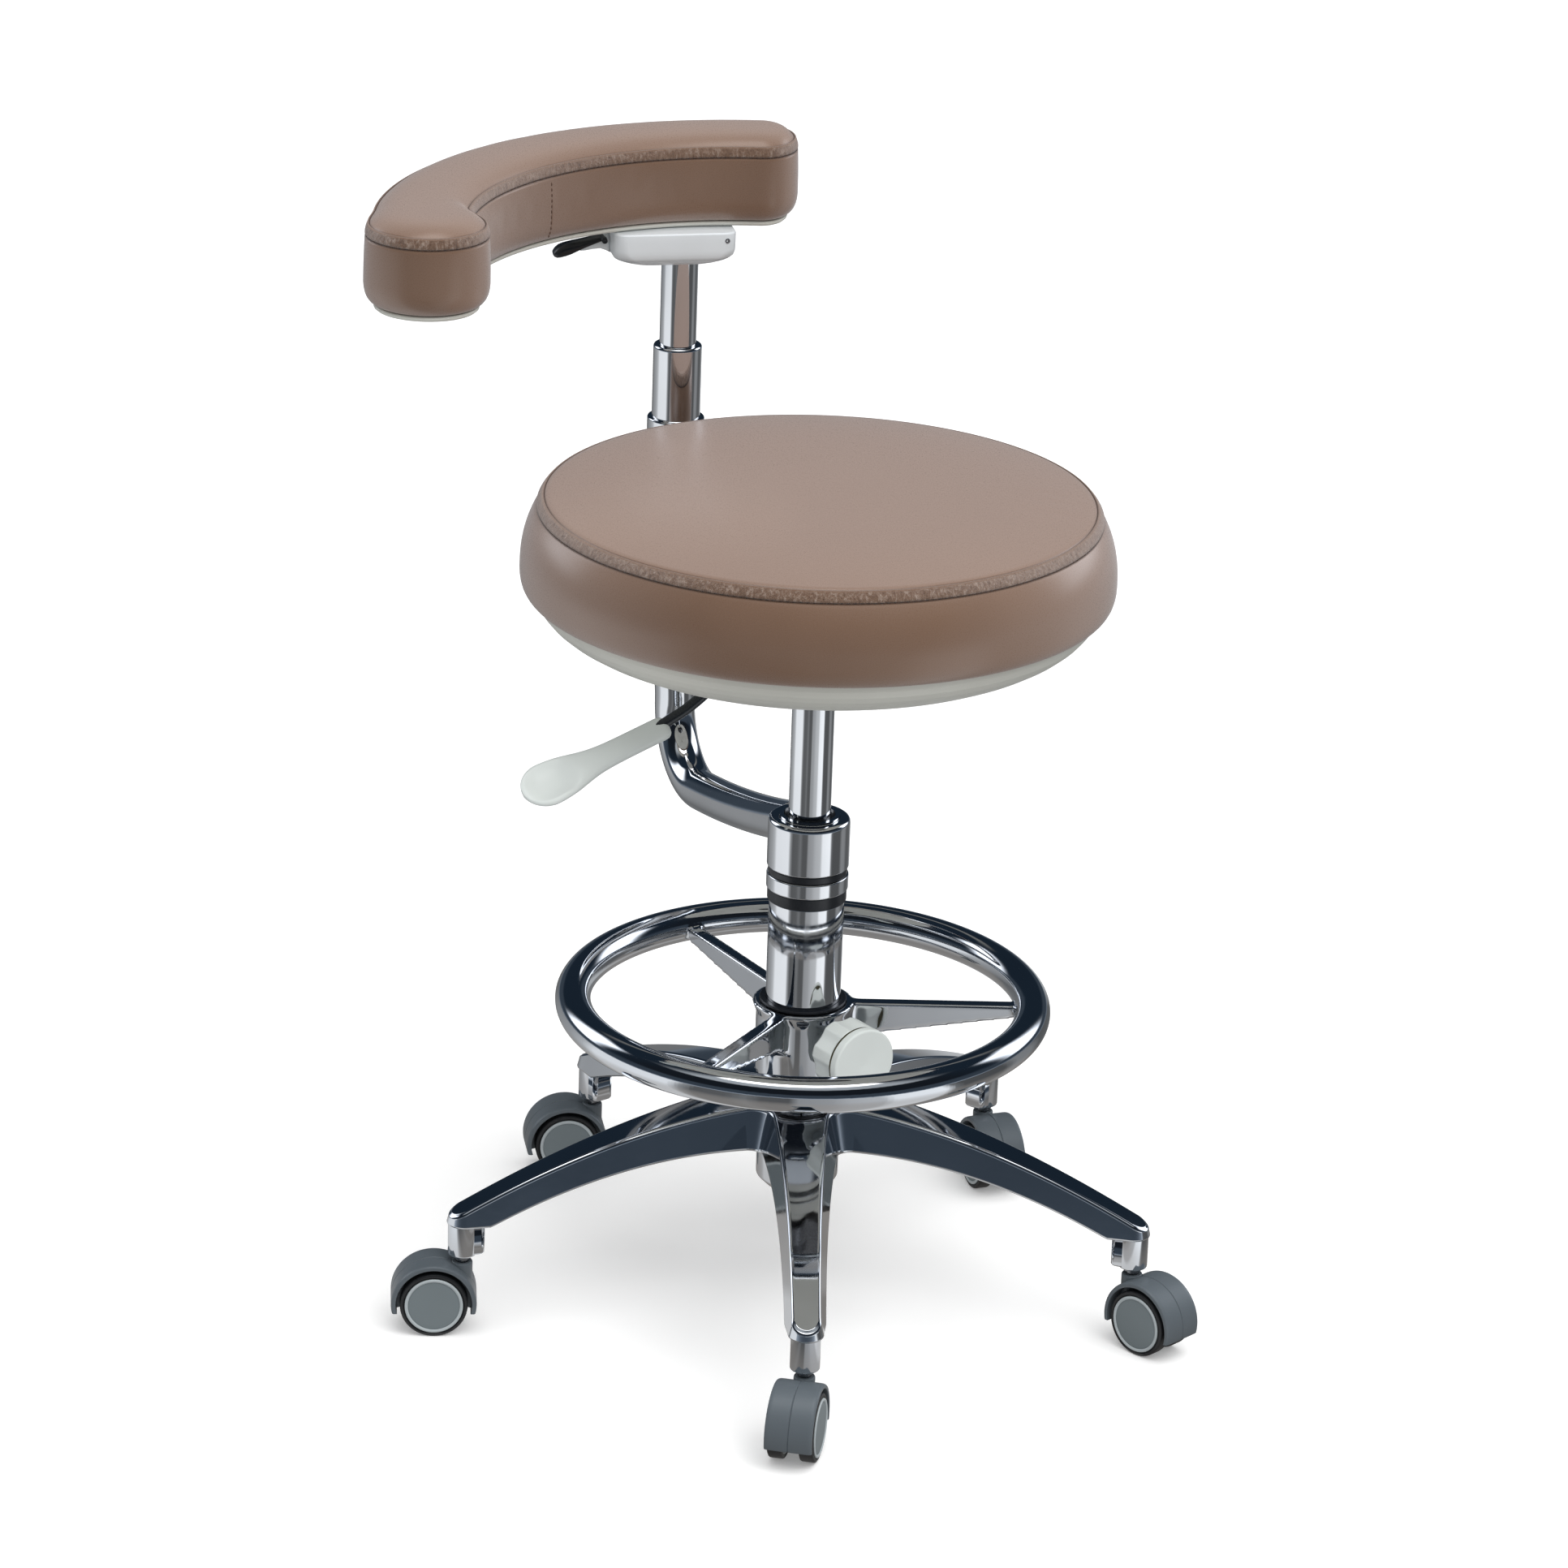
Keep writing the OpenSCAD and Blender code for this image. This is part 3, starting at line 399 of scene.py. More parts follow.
def vinyl(name):
    """Satin upholstery vinyl. The meshes carry how near a point is to a seam, and how much it puckers.

    Its base colour pales where the surface is seen at a glancing angle: a painted sheen, which depends
    on the view, slides in other views, and which a baked model doesn't keep. The seam rows are darkened
    with painted shade, and the puckered band gets painted highlights and painted crease shade.
    """
    s = Shader(name, Specular_IOR_Level=0.6, Sheen_Weight=0.25, Sheen_Roughness=0.35,
               Sheen_Tint=(0.9, 0.95, 1.0))
    # The last colour is a near-black painted shade for the seam creases and the hollows of the puckers.
    light, dark, groove = (0.196, 0.119, 0.080), (0.166, 0.097, 0.063), (0.045, 0.022, 0.012)
    tone = s.mix(s.remap(s.noise(6, 3), 0.3, 0.7, 0, 1), dark, light)
    # Painted sheen: the base colour pales towards a light greige where the surface is seen at a glancing
    # angle.
    glancing = s.node("LayerWeight", {"Blend": 0.5}).outputs["Facing"]
    tone = s.mix(s.remap(glancing, 0.08, 1, 0, 1), tone, (0.45, 0.345, 0.30))
    crumple = s.noise(420, 5, (1, 1, 0.45), 0.75)
    # Painted highlights: the raised crumples of the puckered band next to the seams are lightened.
    pucker_highlight = s.math("MULTIPLY", s.remap(crumple, 0.50, 0.66, 0, 0.7), s.attribute("pucker"))
    tone = s.mix(pucker_highlight, tone, (0.50, 0.40, 0.34))
    # Painted shade: the hollows between these crumples are darkened towards the near-black seam colour.
    crease_shade = s.math("MULTIPLY", s.remap(crumple, 0.34, 0.46, 0.6, 0), s.attribute("pucker"))
    tone = s.mix(crease_shade, tone, groove)
    # Painted shade: the seam rows tagged on the mesh take the near-black colour.
    s.colour(s.mix(s.attribute("groove"), tone, groove))
    pores = s.noise(1500, 2)
    s.roughness(s.remap(pores, 0.3, 0.7, 0.25, 0.34))
    grain = s.bump(s.cells(720), 0.10, 0.12, s.bump(pores, 0.06, 0.1))
    folds = s.math("MULTIPLY", crumple, s.attribute("pucker"))
    return s.normal(s.bump(folds, 1.0, 2.2, grain)).material


def rubber(name, colour, rough):
    s = Shader(name)
    dust = s.noise(60, 5, rough=0.7)
    s.colour(s.mix(s.remap(dust, 0.45, 0.8, 0, 1), colour, tuple(c + 0.02 for c in colour)))
    s.roughness(s.remap(dust, 0.3, 0.8, rough * 0.9, min(1, rough * 1.2)))
    return s.normal(s.bump(s.noise(700, 3), 0.1, 0.1)).material


def plywood(name):
    s = Shader(name, Roughness=0.6)
    plies = s.node("TexWave", {"Vector": s.place(), "Scale": 110, "Distortion": 1.5, "Detail": 2},
                   bands_direction="Z").outputs["Fac"]
    s.colour(s.mix(plies, (0.42, 0.27, 0.14), (0.62, 0.45, 0.27)))
    return s.normal(s.bump(s.noise(200, 4, (0.1, 1, 1)), 0.2, 0.2)).material


CHROME = polished("chrome", (0.80, 0.81, 0.83), 0.05, (1, 1, 0.02), 30)
GAS_CHROME = polished("gas_chrome", (0.82, 0.83, 0.85), 0.05, (1, 1, 0.02), 30)
CAST = polished("cast_aluminium", (0.72, 0.74, 0.77), 0.05, (0.4, 0.4, 1), 22)
STEEL = polished("zinc_steel", (0.55, 0.55, 0.53), 0.32, (1, 1, 0.3), 60)
DARK_STEEL = polished("dark_steel", (0.30, 0.31, 0.33), 0.25, (1, 1, 0.1), 60)
CREAM = moulded("cream_plastic", (0.72, 0.72, 0.66), 0.38)
WHITE = moulded("white_plastic", (0.76, 0.80, 0.83), 0.34)
KNOB = moulded("knob_plastic", (0.80, 0.85, 0.83), 0.36)
HANDLE = moulded("handle_plastic", (0.80, 0.85, 0.83), 0.33)
GREY = moulded("caster_plastic", (0.104, 0.124, 0.141), 0.40, 1100, 0.1)
WHEEL = moulded("wheel_plastic", (0.180, 0.215, 0.230), 0.45, 1100, 0.1)
RIM = moulded("wheel_rim", (0.46, 0.51, 0.53), 0.35)
BLACK = moulded("black_plastic", (0.012, 0.014, 0.018), 0.32)
ROD = moulded("black_rod", (0.014, 0.018, 0.024), 0.25)
TYRE = rubber("tyre_rubber", (0.010, 0.011, 0.013), 0.5)
VINYL = vinyl("vinyl")
THREAD = rubber("sewing_thread", (0.10, 0.055, 0.035), 0.6)
WOOD = plywood("plywood")
# Painted shade: a dark plastic for the disc set in the knob's groove, where there would otherwise be only
# shade.
KNOB_SHADE_BAND = moulded("knob_groove", (0.10, 0.09, 0.045), 0.6)

CAD_LOOKS = {
    "column_neck": CHROME, "gas_bush": BLACK, "thrust_bearing": STEEL, "piston_rod": STEEL,
    "seat_plate": DARK_STEEL, "seat_board": WOOD, "seat_pan": CREAM, "seat_bolts": STEEL,
    "lever_pin": STEEL, "bar_screws": STEEL, "knob_stud": STEEL,
    **{f"caster_{i + 1}_pins": DARK_STEEL for i in range(ARM_COUNT)},
}
for node, look in CAD_LOOKS.items():
    nodes[node].data.materials.clear()
    nodes[node].data.materials.append(look)

# ---------- camera and image points ----------

W = H = L = 1568
LENS, SENSOR, SHIFT_X, SHIFT_Y = 142.19, 36, 0, 0
CAMERA_AT = Vector((-0.1586, -3.7934, 1.8186))
CAMERA_AIM = Vector((-0.0175, 0.00065, 0.3635))
CAMERA_ROLL = 1.99

view = ((CAMERA_AIM - CAMERA_AT).to_track_quat("-Z", "Y").to_matrix()
        @ Matrix.Rotation(math.radians(CAMERA_ROLL), 3, "Z"))
camera_data = bpy.data.cameras.new("camera")
camera_data.lens, camera_data.sensor_width, camera_data.sensor_fit = LENS, SENSOR, "AUTO"
camera_data.shift_x, camera_data.shift_y = SHIFT_X, SHIFT_Y
camera_data.clip_end = 50
camera = linked("camera", camera_data)
camera.matrix_world = Matrix.LocRotScale(CAMERA_AT, view, None)
bpy.context.scene.camera = camera

# Places in the photograph, its long side taken as 1568: outermost edges of the object, ends of
# pieces, and seams that are placed on the surface which carries them.
EDGES = {"bar_left": (365, 229), "bar_top": (689.9, 119.7), "hood_right": (1196, 1309),
         "caster_bottom": (802, 1461), "seat_left": (519.4, 560.0), "seat_right": (1120.8, 576.2),
         "lever_tip": (523.5, 788.9), "knob_right": (895.2, 1052.6), "ring_left": (555.9, 998.3),
         "ring_right": (1049.4, 1014.5)}
SEAMS = {"bar_seam": (552.7, 202.9), "seat_seam": (818.1, 586.8), "seat_stitch": (818.1, 600.6),
         "bar_stitch": (690.0, 191.0)}


def image_ray(x, y):
    ray = Vector((x - W / 2 + SHIFT_X * L, H / 2 - y + SHIFT_Y * L, -L * LENS / SENSOR))
    return (view @ ray).normalized()


def surface_of(*objs):
    """A tree of the places on some objects, in metres."""
    bpy.context.view_layer.update()
    points, polygons = [], []
    for obj in objs:
        first = len(points)
        points += [obj.matrix_world @ v.co for v in obj.data.vertices]
        polygons += [tuple(first + k for k in p.vertices) for p in obj.data.polygons]
    return BVHTree.FromPolygons(points, polygons)


def placed(point, tree):
    """Where the camera's ray through an image point meets a surface, or passes nearest to it."""
    ray = image_ray(*point)
    hit = tree.ray_cast(CAMERA_AT, ray)[0]
    if hit is None:
        away = [(spot, (spot - CAMERA_AT - ray * step).length) for step in np.linspace(3.2, 4.6, 141)
                for spot in (tree.find_nearest(CAMERA_AT + ray * step)[0],)]
        hit = min(away, key=lambda pair: pair[1])[0]
    return hit / MM


on_bar = placed(SEAMS["bar_seam"], surface_of(nodes["bar_cushion"]))
on_seat = placed(SEAMS["seat_stitch"], surface_of(nodes["seat_cushion"]))

# ---------- base ----------


def quadratic(a, b, c, t):
    return (1 - t) ** 2 * a + 2 * t * (1 - t) * b + t * t * c


def curve_height(a, b, c, s):
    """Height at distance s of the quadratic curve from a to c, drawn towards b."""
    p, q, r = a[0] - 2 * b[0] + c[0], 2 * (b[0] - a[0]), a[0] - s
    root = math.sqrt(max(q * q - 4 * p * r, 0))
    found = [(-q + sign * root) / (2 * p) for sign in (1, -1)] if abs(p) > 1e-9 else [-r / q]
    t = min(found, key=lambda t: abs(t - min(max(t, 0), 1)))
    return quadratic(a[1], b[1], c[1], min(max(t, 0), 1))


def arm_top(s):
    return curve_height((BASE_R + BOSS_R, ARM_TIP_TOP - 1), (115, HUB_TOP - 2), (0, HUB_TOP), s)


def arm_low(s):
    tip = BASE_R - BOSS_R - 6
    return curve_height((ARM_ROOT_S - 6, ARM_ROOT_Z), (125, ARM_ROOT_Z + 2), (tip, ARM_TIP_TOP - 8),
                        min(max(s, ARM_ROOT_S - 6), tip))


def top_half_width(s):
    return ARM_HALF_W - ARM_TAPER * (s - ARM_ROOT_S) + ARM_DRAFT * (HUB_TOP - 4 - arm_top(s))


def star_outline():
    """Points of the star's top edge round one arm: where each lies, where its row starts on the
    arm's middle or the column, and how square it stands to the arm."""
    half_turn = math.pi / ARM_COUNT
    reach = (HUB_FILLET_R + ARM_HALF_W + 3) / math.sin(half_turn)
    centre = polar(half_turn) * reach
    rows = []
    for a in np.linspace(0, math.pi / 2, 14):
        p = Vector((BASE_R + BOSS_R * math.cos(a), BOSS_R * math.sin(a)))
        rows.append((p, Vector((BASE_R + BOSS_R * 0.2 * math.cos(a), 0))))
    touch = centre.x - HUB_FILLET_R * math.sin(math.atan(ARM_TAPER))
    for s in np.linspace(BASE_R - 3, touch, 46):
        rows.append((Vector((s, min(top_half_width(s), 60))), Vector((s, 0))))
    start = rows[-1][0] - centre
    first = math.atan2(start.y, start.x)
    last = half_turn + math.pi
    for k, a in enumerate(np.linspace(first % (2 * math.pi), last, 18)[1:]):
        p = centre + start.length * polar(a)
        turn = half_turn * (k + 1) / 17
        reach_in = max(TUBE_R, touch * (1 - (k + 1) / 6))
        rows.append((p, reach_in * polar(turn)))
    return rows


def star_body():
    """The cast star: a domed top, drafted sides and a small round along every top edge."""
    half = star_outline()
    ring = []
    for i in range(ARM_COUNT):
        turn = Matrix.Rotation(math.radians(arm_angle(i)), 2)
        side = [(turn @ p, turn @ c) for p, c in half]
        other = [(turn @ Vector((p.x, -p.y)), turn @ Vector((c.x, -c.y))) for p, c in half]
        ring += list(reversed(other)) + side[1:-1] + [side[-1]]
    ring = [r for k, r in enumerate(ring) if (r[0] - ring[k - 1][0]).length > 0.05]
    count = len(ring)
    edge_r, foot_r = 2.2, 1.4
    rows = {}
    for k, (p, c) in enumerate(ring):
        run = (ring[(k + 1) % count][0] - ring[k - 1][0]).normalized()
        out = Vector((run.y, -run.x))
        s = p.length
        top, low = arm_top(min(s, BASE_R + BOSS_R)), arm_low(s)
        column = []
        for f in (0, 0.25, 0.5, 0.75, 0.92, 1):
            q = c.lerp(p - out * edge_r, f)
            column.append((q.x, q.y, arm_top(min(q.length, BASE_R + BOSS_R))))
        for a in (18, 36, 54, 72, 90):
            a = math.radians(a)
            q = p - out * edge_r * (1 - math.sin(a))
            column.append((q.x, q.y, top - edge_r * (1 - math.cos(a))))
        fall = top - edge_r - low - foot_r
        for f in (0.03, 0.35, 0.7, 0.97, 1):
            q = p + out * ARM_DRAFT * fall * f
            column.append((q.x, q.y, top - edge_r - fall * f))
        for a in (30, 60, 90):
            a = math.radians(a)
            q = p + out * (ARM_DRAFT * fall - foot_r * (1 - math.cos(a)))
            column.append((q.x, q.y, low + foot_r * (1 - math.sin(a))))
        for f in (0.1, 0.5, 1):
            q = (p + out * (ARM_DRAFT * fall - foot_r)).lerp(c, f)
            column.append((q.x, q.y, arm_low(q.length)))
        for r, point in enumerate(column):
            rows.setdefault(r, []).append(point)
    points = [q for r in sorted(rows) for q in rows[r]]
    return crisp(new_object("star_body", points, grid_faces(len(rows), count)))


def caster_boss(i):
    """The socket for a caster's stem, with the narrower web on its inner side."""
    turn = Matrix.Rotation(math.radians(arm_angle(i)), 3, "Z")
    at = turn @ Vector((BASE_R, 0, 0))
    top = ARM_TIP_TOP - 3
    boss = lathe("boss", rounded([(5.6, BOSS_Z), (BOSS_R, BOSS_Z), (BOSS_R, top), (5.6, top)],
                                 [0.4, 1.3, 0, 0]), at, segments=48)
    reach = (BOSS_R + 4) / 2
    levels = ((BOSS_Z + 0.6, 1.6), (BOSS_Z + 1.2, 0.6), (BOSS_Z + 2.4, 0), (top, 0))
    web = loft("web", [(z, reach - inset, 7.8 - inset, 3, (BASE_R - reach, 0)) for z, inset in levels], turn)
    return [boss, web]


def loft(name, levels, turn=None, at=(0, 0, 0)):
    """A solid through rounded rectangles, each (height, half length, half width, corner, centre)."""
    points, corner_steps = [], 8
    for z, half_l, half_w, corner, centre in levels:
        for quarter in range(4):
            sx, sy = ((1, 1), (-1, 1), (-1, -1), (1, -1))[quarter]
            for k in range(corner_steps):
                a = math.pi / 2 * (quarter + k / (corner_steps - 1))
                points.append((centre[0] + sx * (half_l - corner) + corner * math.cos(a),
                               centre[1] + sy * (half_w - corner) + corner * math.sin(a), z))
    faces = capped_faces(len(levels), 4 * corner_steps)
    points = np.array(points)
    if turn is not None:
        points = points @ np.array(turn).T
    return crisp(new_object(name, points + np.array(at, float), faces))


def build_base():
    stub = lathe("stub", rounded([(9, HUB_BOTTOM), (STUB_R - 7, HUB_BOTTOM), (STUB_R, HUB_BOTTOM + 7),
                                  (STUB_R, ARM_ROOT_Z + 4), (9, ARM_ROOT_Z + 4)], [0.6, 3, 4, 0, 0]))
    parts = [star_body(), stub]
    for i in range(ARM_COUNT):
        parts += caster_boss(i)
    base = crisp(join("base_casting", parts))
    finish_piece(base, "base", CAST, "base_star", slot="polished_aluminium")
    return base


build_base()

# ---------- column ----------


def turned(name, body, material, replaced, profile, radius, at=(0, 0, 0), slot=None, **more):
    piece = lathe(name, rounded(profile, radius), at, **more)
    return finish_piece(piece, body, material, *replaced, slot=slot)


turned("column_sleeve", "base", CHROME, ["column_tube"],
       [(22.6, TUBE_BOTTOM), (TUBE_R, TUBE_BOTTOM), (TUBE_R, TUBE_TOP), (22.6, TUBE_TOP)],
       [0, 0.4, 0.8, 0], slot="chrome")
turned("spacer_band", "base", CHROME, ["spacer_ring"],
       [(NECK_R, SPACER_Z), (RING_R, SPACER_Z), (RING_R, TOP_WASHER_Z), (NECK_R, TOP_WASHER_Z)],
       [0, 1.0, 1.0, 0], slot="chrome")
WASHER_R = RING_R - 0.9
washers = [lathe("washer", rounded([(NECK_R, z), (WASHER_R, z), (WASHER_R, z + h), (NECK_R, z + h)], 0.9))
           for z, h in ((TUBE_TOP, LOW_WASHER_H), (TOP_WASHER_Z, TOP_WASHER_H))]
finish_piece(crisp(join("rubber_washers", washers)), "base", BLACK, "column_washers", slot="black_plastic")
turned("collar_band", "arm", CHROME, ["arm_collar"],
       [(NECK_R + 0.05, COLLAR_Z), (RING_R, COLLAR_Z), (RING_R, COLLAR_TOP), (NECK_R + 0.05, COLLAR_TOP)],
       [0, 0.9, 4, 0.6], slot="chrome")
gas_top, gas_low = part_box("gas_cylinder")[1].z / MM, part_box("gas_cylinder")[0].z / MM
turned("gas_tube", "seat", GAS_CHROME, ["gas_cylinder"],
       [(5.2, gas_low), (GAS_R, gas_low), (GAS_R, gas_top), (5.2, gas_top)],
       [0, 1.5, 0.3, 0], slot="gas_chrome")

# ---------- arm and post ----------


def arm_path():
    """The arm tube's middle line: a long shallow sweep out of the collar, a tight bend, and an
    upright that leans a little until it meets the post."""
    fall = math.radians(BEND_FALL)
    bend_s = BEND_OFF - BEND_R
    sweep_s = bend_s + (SWEEP_R - BEND_R) * math.sin(fall)
    sweep_z = BEND_Z + (SWEEP_R - BEND_R) * math.cos(fall)
    inner = math.asin((sweep_s - 18) / SWEEP_R)
    path = [(sweep_s - SWEEP_R * math.sin(a), sweep_z - SWEEP_R * math.cos(a), BEND_TURN)
            for a in np.linspace(inner, fall, 24)]
    path += [(bend_s + BEND_R * math.cos(a), BEND_Z + BEND_R * math.sin(a), BEND_TURN)
             for a in np.linspace(-math.pi / 2 - fall, 0, 24)[1:]]
    for z in np.linspace(BEND_Z, ARM_TOP, 40)[1:]:
        share = min(1, (z - BEND_Z) / (POST_BOTTOM - 40 - BEND_Z))
        share = share * share * (3 - 2 * share)
        path.append((BEND_OFF + share * (POST_OFF - BEND_OFF), z,
                     BEND_TURN + share * (ARM_TURN - BEND_TURN)))
    return [Vector((*(s * polar(math.radians(turn))), z)) for s, z, turn in path]


side = Vector((-math.sin(math.radians(ARM_TURN)), math.cos(math.radians(ARM_TURN)), 0))
arm = tube("arm_bend", arm_path(), ARM_R, 48, side)
finish_piece(crisp(arm), "arm", CHROME, "arm_tube", slot="chrome")
turned("post_socket", "arm", CHROME, ["post_sleeve"],
       [(POST_R + 0.05, ARM_TOP - 30), (13.8, ARM_TOP - 30), (13.8, ARM_TOP), (FLANGE_R, ARM_TOP),
        (FLANGE_R, ARM_TOP + FLANGE_H), (SLEEVE_R, ARM_TOP + FLANGE_H), (SLEEVE_R, SLEEVE_TOP),
        (POST_R + 0.05, SLEEVE_TOP)], [0, 0, 0, 0.8, 1.5, 0.8, 2.2, 0.4], (*POST_AT, 0), slot="chrome")
turned("post_rod", "post", CHROME, ["post_tube"],
       [(POST_R - 2, POST_BOTTOM), (POST_R, POST_BOTTOM), (POST_R, POST_TOP), (POST_R - 2, POST_TOP)],
       [0, 0.5, 0.5, 0], (*POST_AT, 0), slot="chrome")

# ---------- foot ring ----------


def build_foot_ring():
    """The cast ring, with its bar drawn back onto a true torus away from the spokes."""
    ring = casting("ring_casting", nodes["foot_ring"], 1.4, 5)
    co = coordinates(ring.data) / MM
    flat = np.hypot(co[:, 0], co[:, 1])
    across = np.stack([flat - FOOT_R, co[:, 2] - FOOT_Z], axis=1)
    away = np.hypot(*across.T)
    turn = np.degrees(np.arctan2(co[:, 1], co[:, 0]))
    spoke = np.abs((turn + 60) % 120 - 60) * math.pi / 180 * FOOT_R
    free = np.clip((np.maximum(spoke - 9, across[:, 0] + 4)) / 6, 0, 1) * (np.abs(away - FOOT_BAR_R) < 1.5)
    scale = 1 + free * (FOOT_BAR_R / np.maximum(away, 1e-6) - 1)
    radius = FOOT_R + across[:, 0] * scale
    co[:, 0] *= radius / flat
    co[:, 1] *= radius / flat
    co[:, 2] = FOOT_Z + across[:, 1] * scale
    ring.data.vertices.foreach_set("co", (co * MM).ravel())
    return finish_piece(ring, "ring", CAST, "foot_ring", slot="ring_aluminium")


ring = build_foot_ring()
turned("sliding_bush", "ring_slider", BLACK, ["ring_bush"],
       [(TUBE_R + 0.05, FOOT_HUB_Z), (TUBE_R + 2, FOOT_HUB_Z), (TUBE_R + 2, FOOT_HUB_TOP + 0.2),
        (FOOT_HUB_R - 2, FOOT_HUB_TOP + 0.2), (FOOT_HUB_R - 2, FOOT_HUB_TOP + 2.4),
        (TUBE_R + 0.05, FOOT_HUB_TOP + 2.4)],
       [0, 0, 0, 0, 0.8, 0.5], slot="black_plastic")

knob_turn = Matrix.Rotation(math.radians(KNOB_TURN), 3, "Z") @ Matrix.Rotation(math.pi / 2, 3, "Y")
knob_at = (0, 0, KNOB_Z)


def lobes(angle, row):
    """Seven shallow scallops round the back of the wheel."""
    near = (7 * angle / (2 * math.pi)) % 1 - 0.5
    return 1 - 0.085 * max(0, 1 - (near / 0.32) ** 2) if row > 0 else 1


knob_back, knob_mid, knob_front = KNOB_IN + 20.3, KNOB_IN + 21.9, KNOB_IN + 28
knob_parts = []
for profile, radius, look, wave in (
        ([(4, KNOB_IN), (KNOB_R, KNOB_IN), (KNOB_R, knob_back), (4, knob_back)],
         [0, 2.5, 1.4, 0], KNOB, lobes),
        # The middle disc, a little narrower than the others, shows as a dark band of painted shade in the
        # groove.
        ([(4, knob_back - 0.3), (KNOB_R - 0.3, knob_back - 0.3), (KNOB_R - 0.3, knob_mid + 0.3),
          (4, knob_mid + 0.3)], 0, KNOB_SHADE_BAND, None),
        ([(4, knob_mid), (KNOB_R + 0.4, knob_mid), (KNOB_R + 0.4, knob_front), (0.01, knob_front)],
         [0, 0.9, 1.8, 0], KNOB, None)):
    disc = lathe("disc", rounded(profile, radius, 6), knob_at, knob_turn, 168, wave=wave)
    disc.data.materials.append(look)
    knob_parts.append(disc)
knob = crisp(join("clamp_wheel", knob_parts))
finish_piece(knob, "knob", None, "clamp_knob", slot="knob_plastic")

# ---------- height lever ----------

lever_out = Vector((math.cos(math.radians(LEVER_TURN)), math.sin(math.radians(LEVER_TURN)), 0))
lever_side = Vector((-lever_out.y, lever_out.x, 0))


def at_lever(s, z):
    return lever_out * s + Vector((0, 0, z))


def handle_run(s):
    """Point on the handle's middle line, s along it."""
    slope = math.radians(HANDLE_SLOPE)
    return at_lever(HANDLE_START + s * math.cos(slope), HANDLE_Z - s * math.sin(slope))


def rod_path():
    a, b, c = at_lever(LEVER_IN, LEVER_Z), at_lever(*LEVER_MID), handle_run(22)
    near, far = b + (a - b).normalized() * 12, b + (c - b).normalized() * 10
    return [a, a.lerp(near, 0.5), near] + [quadratic(near, b, far, t) for t in np.linspace(0.1, 1, 8)] + [
        far.lerp(c, 0.5), c]


rod = tube("bent_rod", rod_path(), 3.6, 24, lever_side)
eye = lathe("eye", rounded([(2.55, -3.1), (6, -3.1), (6, 3.1), (2.55, 3.1)], 0.6),
            at_lever(LEVER_IN, LEVER_Z),
            Matrix.Rotation(math.radians(LEVER_TURN), 3, "Z") @ Matrix.Rotation(math.pi / 2, 3, "X"), 32)
finish_piece(crisp(join("lever_bar", [rod, eye])), "lever", ROD, "lever_rod", slot="black_rod")


def spoon_handle():
    """A spoon-shaped grip: a round neck that widens into a dished oval end."""
    slope = math.radians(HANDLE_SLOPE)
    flat = lever_out * math.sin(slope) + Vector((0, 0, math.cos(slope)))
    roll = math.radians(HANDLE_ROLL)
    up = flat * math.cos(roll) + lever_side * math.sin(roll)
    across = lever_side * math.cos(roll) - flat * math.sin(roll)
    dish_s, rows, sides = HANDLE_L - DISH_R, [], 56
    stations = np.concatenate([[0.05, 0.5, 1.5, 3], np.linspace(6, dish_s, 26),
                               HANDLE_L - DISH_R * (1 - np.sin(np.linspace(0.08, 1, 16) * math.pi / 2))])
    for s in stations:
        near = math.sqrt(max(0, 1 - max(0, 1 - s / 5) ** 2))
        spread = 1 / (1 + math.exp(-(s - dish_s + 22) / 7.5))
        half_w = (NECK_HALF_W - 0.6 + (DISH_R - NECK_HALF_W + 0.4) * spread)
        if s > dish_s:
            half_w *= math.sqrt(max(1e-4, 1 - ((s - dish_s) / DISH_R) ** 2))
        tip = math.sqrt(max(0.01, 1 - max(0, (s - dish_s) / DISH_R) ** 2))
        half_t = (HANDLE_T / 2 - 0.3 - 1.0 * spread) * (0.35 + 0.65 * tip)
        half_w, half_t = half_w * (0.45 + 0.55 * near), half_t * (0.45 + 0.55 * near)
        scoop = 4.6 * math.exp(-(((s - dish_s + 1) / 14.5) ** 4))
        for a in np.linspace(0, 2 * math.pi, sides, endpoint=False):
            x, z = math.cos(a), math.sin(a)
            w, t = half_w * squared(x, 0.86), half_t * squared(z, 0.86)
            if z > 0 and half_w > 1:
                rim = abs(w) / half_w
                t -= scoop * max(0, 1 - (rim / 0.86) ** 3.0) * math.sqrt(z)
            rows.append(handle_run(s) + across * w + up * (t + 0.7 * spread))
    return new_object("lever_grip", rows, capped_faces(len(stations), sides))


finish_piece(spoon_handle(), "lever", HANDLE, "lever_handle", slot="handle_plastic")

# ---------- casters ----------


def caster_frame(i):
    """From a caster's own frame, wheels trailing along +X, to the object's."""
    turn = Matrix.Rotation(math.radians(SWIVEL[i]), 3, "Z")
    at = Matrix.Rotation(math.radians(arm_angle(i)), 3, "Z") @ Vector((BASE_R, 0, 0))
    return turn, at


